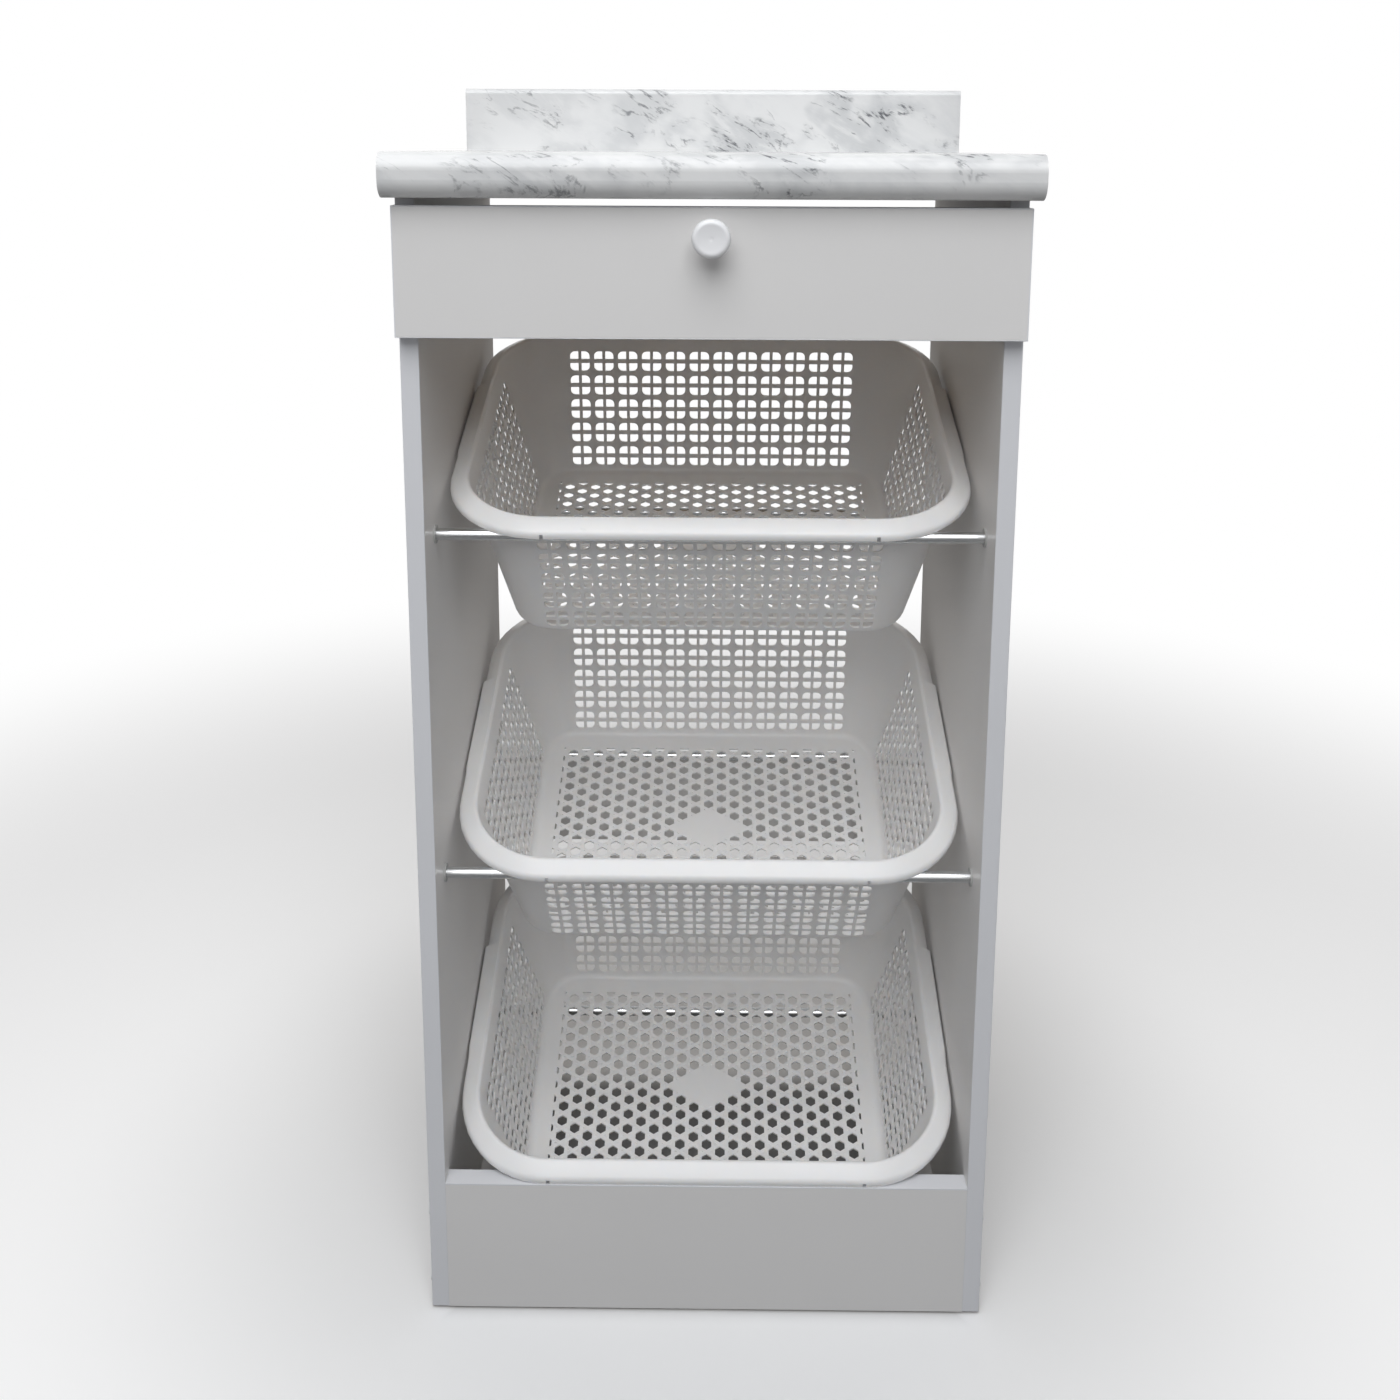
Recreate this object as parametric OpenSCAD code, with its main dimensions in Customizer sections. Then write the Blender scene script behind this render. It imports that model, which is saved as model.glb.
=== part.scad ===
// Narrow kitchen cabinet with a worktop, one drawer and three tilted vegetable baskets.
// The floor is z = 0, the front is towards -Y, and the middle of the outline is x = 0, y = 0.

/* [Cabinet body] */
// Width across the outer faces of the side panels
body_w = 495; // [470:1:520]
// Depth of the side panels
body_d = 371; // [371:1:420]
// Height of the top of the side panels above the floor
body_h = 1000; // [990:1:1060]
// Thickness of the side panels, the rear rail and the drawer front
board_t = 15; // [15:1:18]
// Thickness of the glued edge bands
band_t = 1; // [0.5:0.1:2]
// Height of the plinth board
plinth_h = 128; // [120:1:135]
// Thickness of the plinth board
plinth_t = 18; // [15:1:18]
// Height of the rear rail board
rail_h = 97; // [80:1:100]
// Height of the lower edge of the rear rail above the floor
rail_z = 272; // [250:1:275]

/* [Worktop] */
// How far the worktop stands out beyond each side panel
top_side = 5; // [3:1:20]
// Thickness of the worktop
top_t = 35; // [28:1:40]
// How far the worktop stands out ahead of the side panels
top_overhang = 36; // [30:1:42]
// Radius of the rounded front edge of the worktop
top_nose_r = 14; // [8:1:16]
// Thickness of the laminate on the worktop and the backsplash
skin_t = 0.8; // [0.6:0.1:1.2]
// Height of the backsplash above the worktop
splash_h = 62; // [50:1:120]
// Thickness of the backsplash
splash_t = 15; // [12:1:18]
// Radius of the rounded upper edge of the backsplash
splash_r = 5; // [3:0.5:7]

/* [Drawer] */
// Height of the drawer front
front_h = 103; // [100:1:110]
// Gap between the worktop and the top of the drawer front
front_gap = 6; // [4:1:10]
// Gap between the drawer front and the side panels, filled by the pads
pad_gap = 1; // [0.8:0.1:2]
// Height of the sides of the drawer box
box_h = 65; // [55:1:66]
// Length of the drawer box
box_l = 345; // [320:1:350]
// Thickness of the boards of the drawer box
box_t = 12; // [12:1:13]
// Height of the drawer box above the lower edge of the drawer front
box_lift = 6; // [5:1:8]
// Thickness of the drawer bottom
bottom_t = 3; // [3:0.5:5]
// Height of the drawer bottom above the lower edge of the box
bottom_lift = 10; // [9:1:14]
// Space for one runner between a side panel and the drawer box
runner_space = 12.5; // [12.5:0.1:13]
// Diameter of the knob
knob_d = 30; // [24:1:40]
// Distance that the knob stands out ahead of the drawer front
knob_reach = 28; // [22:1:34]
// Height of the middle of the knob below the top of the drawer front
knob_drop = 23; // [20:1:26]

/* [Runners] */
// Thickness of the runner sheet
sheet_t = 1.2; // [1:0.1:1.4]
// Height of the cabinet runner
track_h = 30; // [29:0.5:32]
// Diameter of the runner rollers
roller_d = 18; // [16:0.5:18]
// Width of the runner rollers
roller_w = 7.2; // [6:0.1:7.2]
// Diameter of the pins that the rollers turn on
pin_d = 4; // [3:0.1:5]

/* [Baskets] */
// Gap between the rim of a basket and each side panel
basket_gap = 2.5; // [2:0.1:12]
// Length of a basket across its rim
basket_l = 361; // [355:1:361]
// Height of a basket from the top of its floor to the top of its rim
basket_h = 152; // [146:1:153]
// Outer corner radius of the rim
rim_corner_r = 87; // [75:1:95]
// Width of the rolled band of the rim
rim_band = 17.5; // [16:0.5:19]
// Radius of the outer shoulder of the rim
rim_round = 6; // [4:0.5:7]
// Radius of the inner shoulder of the rim
rim_inner_round = 3; // [2.5:0.1:4]
// How far the band of the rim slopes down towards the outside
rim_drop = 5; // [2:0.5:6]
// Depth of the lower edge of the skirt below the top of the rim
skirt_h = 12.5; // [12:0.5:14]
// Thickness of the moulded plastic
plastic_t = 2; // [1.6:0.1:2.4]
// Outward slope of the basket walls from upright, in degrees
wall_draft = 12.5; // [12:0.1:13]
// Inner radius of the bend between the floor and the walls
bend_r = 8; // [5:0.5:10]
// Length of the grip on each side rim
grip_l = 122; // [90:1:130]
// Depth of the grip below the top of the rim
grip_h = 18; // [15:0.5:22]
// Distance that the grip stands out from the rim
grip_out = 1.2; // [0.6:0.1:1.3]
// Number of openings along the front and back walls and along the floor
grid_long = 12; // [2:2:12]
// Number of openings along the side walls
grid_short = 8; // [2:2:8]
// Number of openings up the walls
grid_up = 5; // [2:1:5]
// Number of rows of openings in the floor
grid_rows = 7; // [3:2:7]
// Width of the openings in the walls
wall_hole = 15; // [8:0.5:17]
// Width of the openings in the floor
floor_hole = 16; // [8:0.5:18]
// Tilt of the upper basket in degrees
upper_tilt = 20.5; // [19:0.5:21.5]
// Tilt of the middle basket in degrees
middle_tilt = 22; // [20:0.5:22]
// Tilt of the lower basket in degrees
lower_tilt = 21.5; // [20:0.5:22.5]

/* [Rods] */
// Diameter of the basket rods
rod_d = 10; // [8:0.5:10]
// Wall thickness of the basket rods
rod_wall = 1; // [0.8:0.1:2]
// Distance of the front rods behind the front of the side panels
front_rod_y = 41.5; // [38:0.5:43]
// Height of the upper front rod below the top of the side panels
upper_rod_drop = 284; // [278:1:295]
// Height of the upper front rod above the middle one
rod_rise = 310; // [304:1:316]
// Place of the upper rear rod along the basket floor, behind its middle
upper_rear_s = 65; // [40:1:105]
// Place of the middle rear rod along the basket floor, behind its middle
middle_rear_s = 106; // [60:1:106]
// Place of the lower rear rod along the basket floor, behind its middle
lower_rear_s = 92; // [60:1:100]
// Outer diameter of the rod sockets
socket_d = 12; // [12:0.5:14]
// Diameter of the flange of the rod sockets
flange_d = 16; // [15:0.5:18]
// Thickness of the flange of the rod sockets
flange_t = 1.5; // [1:0.1:2]
// Depth of the rod sockets in the side panels
socket_l = 9; // [7:0.5:10]

/* [Fasteners and feet] */
// Diameter of the shank of the panel screws
screw_d = 5; // [4:0.5:6]
// Length of the panel screws
screw_l = 50; // [40:1:60]
// Diameter of the head of the panel screws
screw_head_d = 10; // [9:0.5:11]
// Diameter of the caps over the panel screws
cap_d = 13; // [12:0.5:15]
// Thickness of the caps over the panel screws
cap_t = 1.2; // [0.8:0.1:1.6]
// Diameter of the wooden dowels
dowel_d = 8; // [6:1:8]
// Length of the wooden dowels
dowel_l = 32; // [28:1:36]
// Diameter of the cam locks
cam_d = 15; // [13:0.5:15]
// Depth of the cam locks
cam_l = 12.5; // [11:0.5:12.5]
// Height of the cam locks below the top of the side panels
cam_drop = 34; // [28:1:36]
// Length of a floor glide
glide_l = 38; // [30:1:50]
// Width of a floor glide
glide_w = 12; // [10:0.5:13]
// Thickness of a floor glide
glide_t = 2.5; // [2:0.1:4]

/* [Hidden] */
$fn = 64;

// Small gaps, between pieces that rest on each other, and round pieces set in a bore
seat_gap = 0.25;
fit_gap = 0.1;
running_gap = 0.05;
// Overlap that makes a cut run clean through a face
cut = 1;

// Front plane of the side panels, with the middle of the whole outline at y = 0
front_reach = pad_gap + board_t + knob_reach;
front_y = -(body_d - front_reach) / 2;
inner_x = body_w / 2 - board_t;
inner_w = 2 * inner_x;
top_z = body_h + top_t;
top_w = body_w + 2 * top_side;
// Length of the laminate on the underside of the worktop, behind the nose
wrap_l = 20;

// Drawer
front_z = body_h - front_gap - front_h;
front_back_y = -pad_gap;
knob_z = front_z + front_h - knob_drop;
box_z = front_z + box_lift;
box_x = inner_x - runner_space;
bottom_z = box_z + bottom_lift;
groove_depth = 5;
drawer_screw_d = 3.5;
drawer_screw_l = 32;
drawer_screw_head = 7;
// Screws through the drawer sides into the inner front and the back: y and height of each
box_screw_low = 20;
box_screw_high = 14;
box_screw_places = [
    for (y = [front_back_y + box_t / 2, front_back_y + box_l - box_t / 2])
        for (z = [box_z + box_screw_low, box_z + box_h - box_screw_high])
            [y, z]
];
// Screws that hold the drawer front, driven from inside the box
front_screw_l = 24;
front_screw_inset = 70;
front_screw_rise = 8;
front_screw_xs = [front_screw_inset - box_x, box_x - front_screw_inset];
front_screw_z = box_z + box_h / 2 + front_screw_rise;
// Knob: a flat disc with a rounded rim on a waisted stem, and its screw
knob_disc_t = 12;
knob_round = 3;
stem_d = 15;
stem_foot_d = 18;
stem_foot_t = 4;
knob_screw_d = 4;
knob_screw_l = 24;

// Runners: the drawer runner hangs on the cabinet roller, its own roller runs in the track
hanger_rise = 26;
track_rise = 3;
roller_inset = 18;
hanger_z = box_z + hanger_rise;
track_z = box_z + track_rise;
flange_reach = 8;
cabinet_roller_y = roller_inset;
drawer_roller_y = box_l - roller_inset;
cabinet_roller_z = hanger_z - seat_gap - roller_d / 2;
drawer_roller_z = track_z + sheet_t + seat_gap + roller_d / 2;
track_y = 4;
track_l = 350;
hanger_end_gap = 4;
hanger_l = box_l - hanger_end_gap;
roller_side_gap = 0.6;
// The cabinet rollers stand off the track, the drawer rollers off the drawer rail
cabinet_roller_x = inner_x - sheet_t - roller_side_gap - roller_w;
drawer_roller_x = box_x + sheet_t + roller_side_gap;
pin_head_d = 7;
pin_head_t = 0.8;
runner_screw_d = 3;
runner_screw_l = 11;
runner_screw_head_d = 6;
runner_screw_head_t = 1;

// Basket section: the wall foot of the rim, and the bend at the floor, at a corner
basket_w = inner_w - 2 * basket_gap;
corner_x = basket_w / 2 - rim_corner_r;
corner_s = basket_l / 2 - rim_corner_r;
foot_n = basket_h - rim_inner_round;
foot_u = rim_corner_r - rim_band;
floor_u = foot_u - foot_n * tan(wall_draft);
bend_u = floor_u + bend_r * tan(wall_draft) - bend_r / cos(wall_draft);
skirt_n = basket_h - skirt_h;
// Short upright leg of the rim that laps over the top of the wall
leg_l = 0.5;
// Middles of the two shoulders of the rim, and the direction that its sloping band faces
shoulder_in = [foot_u + rim_inner_round, foot_n];
shoulder_out = [foot_u + rim_band - rim_round, basket_h - rim_drop - rim_round];
shoulder_step = shoulder_out - shoulder_in;
band_angle = atan2(shoulder_step[1], shoulder_step[0])
    + acos((rim_inner_round - rim_round) / norm(shoulder_step));
band_normal = [cos(band_angle), sin(band_angle)];
notch_inset = 2;
notch_x = corner_x - notch_inset;
notch_w = 3;
notch_h = 4;
// Grid of openings: middle of the lowest row up the walls, and of the highest one below the rim
grid_low = 18.5;
grid_high = 24.7;
grid_rise = (foot_n - grid_low - grid_high) / (grid_up - 1);
// Pitch of openings that reach end_share of a pitch past each end of a straight side
end_share = 0.2;
function pitch_of(side, count) = side / (count - 1 + 2 * end_share);
// Half of the diagonals of the plain lozenge in the middle of the floor
plain_x = 34;
plain_s = 20;

// Where the front rod lies: under the skirt at the corners, and against the front wall
hook_n = skirt_n - seat_gap - rod_d / 2;
hook_s = -(corner_s + floor_u + hook_n * tan(wall_draft)
    + (plastic_t + rod_d / 2 + seat_gap) / cos(wall_draft));
// Height of the middle of the rear rod under the floor
under_n = -plastic_t - seat_gap - rod_d / 2;

// Place of each basket: the middle of its floor in the Y-Z plane, and its tilt
function turned(s, n, tilt) = [s * cos(tilt) - n * sin(tilt), s * sin(tilt) + n * cos(tilt)];
function hung_from(rod_z, tilt) = [front_rod_y, rod_z] - turned(hook_s, hook_n, tilt);
skirt_inset = 1;
upper_rod_z = body_h - upper_rod_drop;
middle_rod_z = upper_rod_z - rod_rise;
upper_at = hung_from(upper_rod_z, upper_tilt);
middle_at = hung_from(middle_rod_z, middle_tilt);
lower_at = [skirt_inset, plinth_h + seat_gap] - turned(-basket_l / 2, skirt_n, lower_tilt);

// Rods: the middle of each in the Y-Z plane
front_rods = [[front_rod_y, upper_rod_z], [front_rod_y, middle_rod_z]];
upper_rear = upper_at + turned(upper_rear_s, under_n, upper_tilt);
middle_rear = middle_at + turned(middle_rear_s, under_n, middle_tilt);
lower_rear = lower_at + turned(lower_rear_s, under_n, lower_tilt);
all_rods = concat(front_rods, [upper_rear, middle_rear, lower_rear]);
socket_floor = 1.5;
rod_l = inner_w + 2 * (socket_l - socket_floor - fit_gap);

// Panel screws: [y, z] of each, the same on both sides
plinth_screw_inset = 30;
rail_screw_inset = 20;
panel_screw_places = [
    [plinth_t / 2, plinth_screw_inset],
    [plinth_t / 2, plinth_h - plinth_screw_inset],
    [body_d - board_t / 2, rail_z + rail_screw_inset],
    [body_d - board_t / 2, rail_z + rail_h - rail_screw_inset]
];
screw_head_l = 4;
// Distances of the dowels and the cam bolts behind the front of the side panels
dowel_inset = 60;
cam_inset = 92;
dowel_ys = [dowel_inset, body_d - dowel_inset];
cam_ys = [cam_inset, body_d - cam_inset];
cam_x = body_w / 2 - board_t / 2;
bolt_d = 6;
bolt_up = 12;
// Distances of the track screws behind the front of the side panels
track_screw_ys = [60, 200, 330];
hanger_screw_ys = [50, 180, 310];
track_screw_z = track_z + track_h / 2;
splash_screw_inset = 72.5;
splash_screw_xs = [splash_screw_inset - top_w / 2, 0, top_w / 2 - splash_screw_inset];
splash_screw_l = 60;
splash_screw_d = 4.5;
splash_y = body_d - splash_t / 2;
// The backsplash stands on the core of the worktop, behind the end of the laminate
splash_foot_z = top_z - skin_t;
glide_inset = 45;
glide_ys = [glide_inset, body_d - glide_inset];
glide_nail_d = 2;
glide_nail_l = 12;
pad_d = 8;
pad_inset = 12;
pad_t = pad_gap - fit_gap;
pad_zs = [front_z + pad_inset, front_z + front_h - pad_inset];

melamine = [0.93, 0.93, 0.94];
band_white = [0.9, 0.91, 0.94];
chipboard = [0.76, 0.66, 0.5];
marble = [0.93, 0.93, 0.92];
basket_white = [0.95, 0.95, 0.95];
aluminium = [0.8, 0.81, 0.82];
steel = [0.6, 0.61, 0.63];
white_plastic = [0.96, 0.96, 0.95];
beech = [0.82, 0.68, 0.48];

// Puts a piece that is drawn from the front plane of the side panels into the part's frame
module from_front() {
    translate([0, front_y, 0])
        children();
}

// Draws a piece for +X, and mirrors it when side is -1
module on_side(side) {
    mirror([side < 0 ? 1 : 0, 0, 0])
        children();
}

// Cylinder along +X from the point [x, y, z]
module along_x(x, y, z, d, l) {
    translate([x, y, z])
        rotate([0, 90, 0])
            cylinder(d = d, h = l);
}

// Panel screw with a countersunk head flush with the outer face, as drawn for +X
module panel_screw(place, gap) {
    tip = body_w / 2 - screw_l;
    neck = screw_l - screw_head_l;
    along_x(tip - gap, place[0], place[1], screw_d + 2 * gap, neck + 2 * gap);
    translate([body_w / 2 - screw_head_l - gap, place[0], place[1]])
        rotate([0, 90, 0])
            cylinder(d1 = screw_d + 2 * gap, d2 = screw_head_d + 2 * gap, h = screw_head_l + gap);
}

module panel_screw_cuts() {
    for (side = [-1, 1])
        on_side(side)
            for (place = panel_screw_places)
                panel_screw(place, fit_gap);
}

// Socket that holds the end of a rod, as drawn for +X
module rod_socket(place) {
    difference() {
        union() {
            along_x(inner_x, place[0], place[1], socket_d, socket_l);
            along_x(inner_x - flange_t, place[0], place[1], flange_d, flange_t);
        }
        along_x(inner_x - flange_t - cut, place[0], place[1], rod_d + 2 * fit_gap,
                flange_t + cut + socket_l - socket_floor);
    }
}

// Vertical dowel between a side panel and the worktop
module dowel(y, gap) {
    translate([cam_x, y, body_h - dowel_l / 2 - gap])
        cylinder(d = dowel_d + 2 * gap, h = dowel_l + 2 * gap);
}

// Cam lock in the inner face of a side panel
module cam_lock(y, gap) {
    along_x(inner_x - gap, y, body_h - cam_drop, cam_d + 2 * gap, cam_l + 2 * gap);
}

// Bolt from the worktop down into the cam lock
module cam_bolt(y, gap) {
    translate([cam_x, y, body_h - cam_drop])
        cylinder(d = bolt_d + 2 * gap, h = cam_drop + bolt_up + gap);
}

// Screw of the cabinet runner, with a flat head against the sheet
module track_screw(y, gap) {
    along_x(inner_x - sheet_t - gap, y, track_screw_z, runner_screw_d + 2 * gap, runner_screw_l + gap);
}

// Nailed glide under a board, with its length along Y
module glide(y, gap) {
    translate([cam_x, y, 0]) {
        translate([-glide_w / 2, -glide_l / 2, 0])
            cube([glide_w, glide_l, glide_t]);
        cylinder(d = glide_nail_d + 2 * gap, h = glide_t + glide_nail_l + gap);
    }
}

module side_panel(side) {
    color(melamine)
        from_front()
            on_side(side)
                difference() {
                    translate([inner_x, band_t, glide_t])
                        cube([board_t, body_d - band_t, body_h - glide_t]);
                    for (place = panel_screw_places)
                        panel_screw(place, fit_gap);
                    for (place = all_rods)
                        along_x(inner_x - cut, place[0], place[1], socket_d + 2 * running_gap,
                                socket_l + cut + fit_gap);
                    for (y = dowel_ys)
                        dowel(y, fit_gap);
                    for (y = cam_ys) {
                        cam_lock(y, fit_gap);
                        cam_bolt(y, fit_gap);
                    }
                    for (y = track_screw_ys)
                        track_screw(y, fit_gap);
                    for (y = glide_ys)
                        glide(y, fit_gap);
                }
}

module edge_band(side) {
    color(band_white)
        from_front()
            on_side(side)
                translate([inner_x, 0, glide_t])
                    cube([board_t, band_t, body_h - glide_t]);
}

module plinth_board() {
    color(melamine)
        from_front()
            difference() {
                translate([-inner_x, 0, glide_t])
                    cube([inner_w, plinth_t, plinth_h - glide_t - band_t]);
                panel_screw_cuts();
                translate([0, plinth_t / 2, 0])
                    cylinder(d = glide_nail_d + 2 * fit_gap, h = glide_t + glide_nail_l + fit_gap);
            }
}

module plinth_edging() {
    color(band_white)
        from_front()
            translate([-inner_x, 0, plinth_h - band_t])
                cube([inner_w, plinth_t, band_t]);
}

module rear_rail() {
    color(melamine)
        from_front()
            difference() {
                translate([-inner_x, body_d - board_t, rail_z])
                    cube([inner_w, board_t, rail_h]);
                panel_screw_cuts();
            }
}

// Outline of the worktop in the Y-Z plane, drawn in by the skin thickness where skin is given
module worktop_outline(skin) {
    nose = top_nose_r - skin;
    front = skin - top_overhang;
    back_l = body_d - front;
    translate([front + nose, body_h])
        square([back_l - nose, top_t - skin]);
    translate([front, body_h + top_nose_r])
        square([nose + cut, top_t - 2 * top_nose_r]);
    translate([front + nose, body_h + top_nose_r])
        circle(nose);
    translate([front + nose, top_z - top_nose_r])
        circle(nose);
}

// Outline of the chipboard core: the skin wraps the nose, and ends on a flat behind it
module worktop_core_outline() {
    difference() {
        worktop_outline(skin_t);
        translate([-top_overhang - cut, body_h - cut])
            square([top_nose_r + wrap_l + cut, skin_t + cut]);
    }
}

// Extrudes a Y-Z outline along X, centred
module along_width(width) {
    translate([-width / 2, 0, 0])
        rotate([90, 0, 90])
            linear_extrude(width)
                children();
}

module splash_screw(x, gap) {
    translate([x, splash_y, body_h - gap])
        cylinder(d = splash_screw_d + 2 * gap, h = splash_screw_l + 2 * gap);
    translate([x, splash_y, body_h - gap])
        cylinder(d1 = 2 * splash_screw_d + 2 * gap, d2 = splash_screw_d + 2 * gap,
                 h = splash_screw_d / 2 + gap);
}

module worktop_core() {
    color(chipboard)
        from_front()
            difference() {
                along_width(top_w - 2 * band_t)
                    worktop_core_outline();
                for (side = [-1, 1])
                    on_side(side) {
                        for (y = dowel_ys)
                            dowel(y, fit_gap);
                        for (y = cam_ys)
                            cam_bolt(y, fit_gap);
                    }
                for (x = splash_screw_xs)
                    splash_screw(x, fit_gap);
            }
}

module worktop_laminate() {
    color(marble)
        from_front()
            along_width(top_w - 2 * band_t)
                difference() {
                    worktop_outline(0);
                    worktop_core_outline();
                    translate([-top_overhang + top_nose_r + wrap_l, body_h - cut])
                        square([body_d, cut + skin_t]);
                    translate([body_d - splash_t, splash_foot_z])
                        square([splash_t + cut, skin_t + cut]);
                }
}

module worktop_end_strips() {
    color(marble)
        from_front()
            for (side = [-1, 1])
                on_side(side)
                    translate([top_w / 2 - band_t, 0, 0])
                        rotate([90, 0, 90])
                            linear_extrude(band_t)
                                worktop_outline(0);
}

// Outline of the backsplash in the Y-Z plane from the height foot, with a rounded upper edge
module splash_outline(skin, foot) {
    round_r = splash_r - skin;
    front = body_d - splash_t + skin;
    translate([front + round_r, foot])
        square([splash_t - skin - round_r, top_z + splash_h - skin - foot]);
    translate([front, foot])
        square([round_r + cut, top_z + splash_h - splash_r - foot]);
    translate([front + round_r, top_z + splash_h - splash_r])
        circle(round_r);
}

module backsplash_core() {
    color(chipboard)
        from_front()
            difference() {
                along_width(top_w - 2 * band_t)
                    splash_outline(skin_t, splash_foot_z);
                for (x = splash_screw_xs)
                    splash_screw(x, fit_gap);
            }
}

module backsplash_laminate() {
    color(marble)
        from_front()
            along_width(top_w - 2 * band_t)
                difference() {
                    splash_outline(0, splash_foot_z);
                    splash_outline(skin_t, splash_foot_z - cut);
                }
}

module backsplash_end_strips() {
    color(marble)
        from_front()
            for (side = [-1, 1])
                on_side(side)
                    translate([top_w / 2 - band_t, 0, 0])
                        rotate([90, 0, 90])
                            linear_extrude(band_t)
                                splash_outline(0, top_z);
}

module backsplash_screws() {
    color(steel)
        from_front()
            for (x = splash_screw_xs)
                splash_screw(x, 0);
}

module front_screw(x, gap) {
    translate([x, front_back_y + box_t + gap, front_screw_z])
        rotate([90, 0, 0]) {
            cylinder(d = drawer_screw_d + 2 * gap, h = front_screw_l + 2 * gap);
            cylinder(d1 = drawer_screw_head + 2 * gap, d2 = drawer_screw_d + 2 * gap,
                     h = drawer_screw_d / 2 + gap);
        }
}

module knob_screw_shape(gap) {
    translate([0, front_back_y, knob_z])
        rotate([90, 0, 0])
            cylinder(d = knob_screw_d + 2 * gap, h = knob_screw_l + gap);
}

module drawer_front() {
    color(melamine)
        from_front()
            difference() {
                translate([-body_w / 2 + band_t, front_back_y - board_t, front_z + band_t])
                    cube([body_w - 2 * band_t, board_t, front_h - 2 * band_t]);
                for (x = front_screw_xs)
                    front_screw(x, fit_gap);
                knob_screw_shape(fit_gap);
            }
}

// Four strips round the edges of the drawer front, the long ones over the short ones
module drawer_front_edging() {
    color(band_white)
        from_front()
            translate([0, front_back_y - board_t, front_z]) {
                for (z = [0, front_h - band_t])
                    translate([-body_w / 2, 0, z])
                        cube([body_w, board_t, band_t]);
                for (x = [-body_w / 2, body_w / 2 - band_t])
                    translate([x, 0, band_t])
                        cube([band_t, board_t, front_h - 2 * band_t]);
            }
}

// Space that the drawer bottom takes in the grooves of the box
module bottom_space(gap) {
    translate([-box_x + box_t - groove_depth - gap, front_back_y + box_t - groove_depth - gap, bottom_z - gap])
        cube([2 * (box_x - box_t + groove_depth + gap), box_l - 2 * box_t + 2 * (groove_depth + gap),
              bottom_t + 2 * gap]);
}

module box_screw(place, gap) {
    translate([box_x - drawer_screw_l - gap, place[0], place[1]])
        rotate([0, 90, 0])
            cylinder(d = drawer_screw_d + 2 * gap, h = drawer_screw_l - drawer_screw_d / 2 + 2 * gap);
    translate([box_x - drawer_screw_d / 2 - gap, place[0], place[1]])
        rotate([0, 90, 0])
            cylinder(d1 = drawer_screw_d + 2 * gap, d2 = drawer_screw_head + 2 * gap,
                     h = drawer_screw_d / 2 + gap);
}

module box_screw_cuts() {
    for (side = [-1, 1])
        on_side(side)
            for (place = box_screw_places)
                box_screw(place, fit_gap);
}

// Board of the drawer box between the two drawer sides
module drawer_cross_board(y) {
    color(melamine)
        from_front()
            difference() {
                translate([-box_x + box_t, y, box_z])
                    cube([2 * (box_x - box_t), box_t, box_h]);
                bottom_space(fit_gap);
                box_screw_cuts();
                for (x = front_screw_xs)
                    front_screw(x, fit_gap);
            }
}

module drawer_inner_front() {
    drawer_cross_board(front_back_y);
}

module drawer_back() {
    drawer_cross_board(front_back_y + box_l - box_t);
}

// Screw that holds the drawer runner, driven up into the edge of the drawer side
module hanger_screw(y, gap) {
    translate([box_x - box_t / 2, y, box_z - sheet_t - gap])
        cylinder(d = runner_screw_d + 2 * gap, h = runner_screw_l + 2 * gap);
}

module drawer_side(side) {
    color(melamine)
        from_front()
            on_side(side)
                difference() {
                    translate([box_x - box_t, front_back_y, box_z])
                        cube([box_t, box_l, box_h]);
                    bottom_space(fit_gap);
                    for (place = box_screw_places)
                        box_screw(place, fit_gap);
                    for (y = hanger_screw_ys)
                        hanger_screw(y, fit_gap);
                }
}

module drawer_bottom() {
    color(melamine)
        from_front()
            bottom_space(0);
}

module drawer_box_screws() {
    color(steel)
        from_front()
            for (side = [-1, 1])
                on_side(side)
                    for (place = box_screw_places)
                        box_screw(place, 0);
}

module drawer_front_screws() {
    color(steel)
        from_front()
            for (x = front_screw_xs)
                front_screw(x, 0);
}

// Half section of the knob, turned about its axis
module knob_outline() {
    disc_y = knob_reach - knob_disc_t;
    flat_r = knob_d / 2 - knob_round;
    translate([0, disc_y])
        square([flat_r, knob_disc_t]);
    translate([0, disc_y + knob_round])
        square([knob_d / 2, knob_disc_t - 2 * knob_round]);
    for (y = [disc_y + knob_round, knob_reach - knob_round])
        translate([flat_r, y])
            circle(knob_round);
    square([stem_d / 2, disc_y + knob_round]);
    square([stem_foot_d / 2, stem_foot_t]);
}

module knob() {
    color(white_plastic)
        from_front()
            difference() {
                translate([0, front_back_y - board_t, knob_z])
                    rotate([90, 0, 0])
                        rotate_extrude()
                            intersection() {
                                knob_outline();
                                square([knob_d, knob_reach]);
                            }
                knob_screw_shape(fit_gap);
            }
}

module knob_screw() {
    color(steel)
        from_front() {
            knob_screw_shape(0);
            translate([0, front_back_y + knob_screw_d / 2, knob_z])
                rotate([90, 0, 0])
                    cylinder(d = 2 * knob_screw_d, h = knob_screw_d / 2);
        }
}

// Track fixed to the side panel: a web with a lower flange that carries the drawer roller
module cabinet_runner(side) {
    color(white_plastic)
        from_front()
            on_side(side)
                difference() {
                    union() {
                        translate([inner_x - sheet_t, track_y, track_z])
                            cube([sheet_t, track_l, track_h]);
                        for (z = [track_z, track_z + track_h - sheet_t])
                            translate([inner_x - sheet_t - flange_reach, track_y, z])
                                cube([flange_reach + sheet_t, track_l, sheet_t]);
                    }
                    for (y = track_screw_ys)
                        track_screw(y, fit_gap);
                    along_x(inner_x - sheet_t - cut, cabinet_roller_y, cabinet_roller_z,
                            pin_d + 2 * running_gap, sheet_t + 2 * cut);
                }
}

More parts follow.
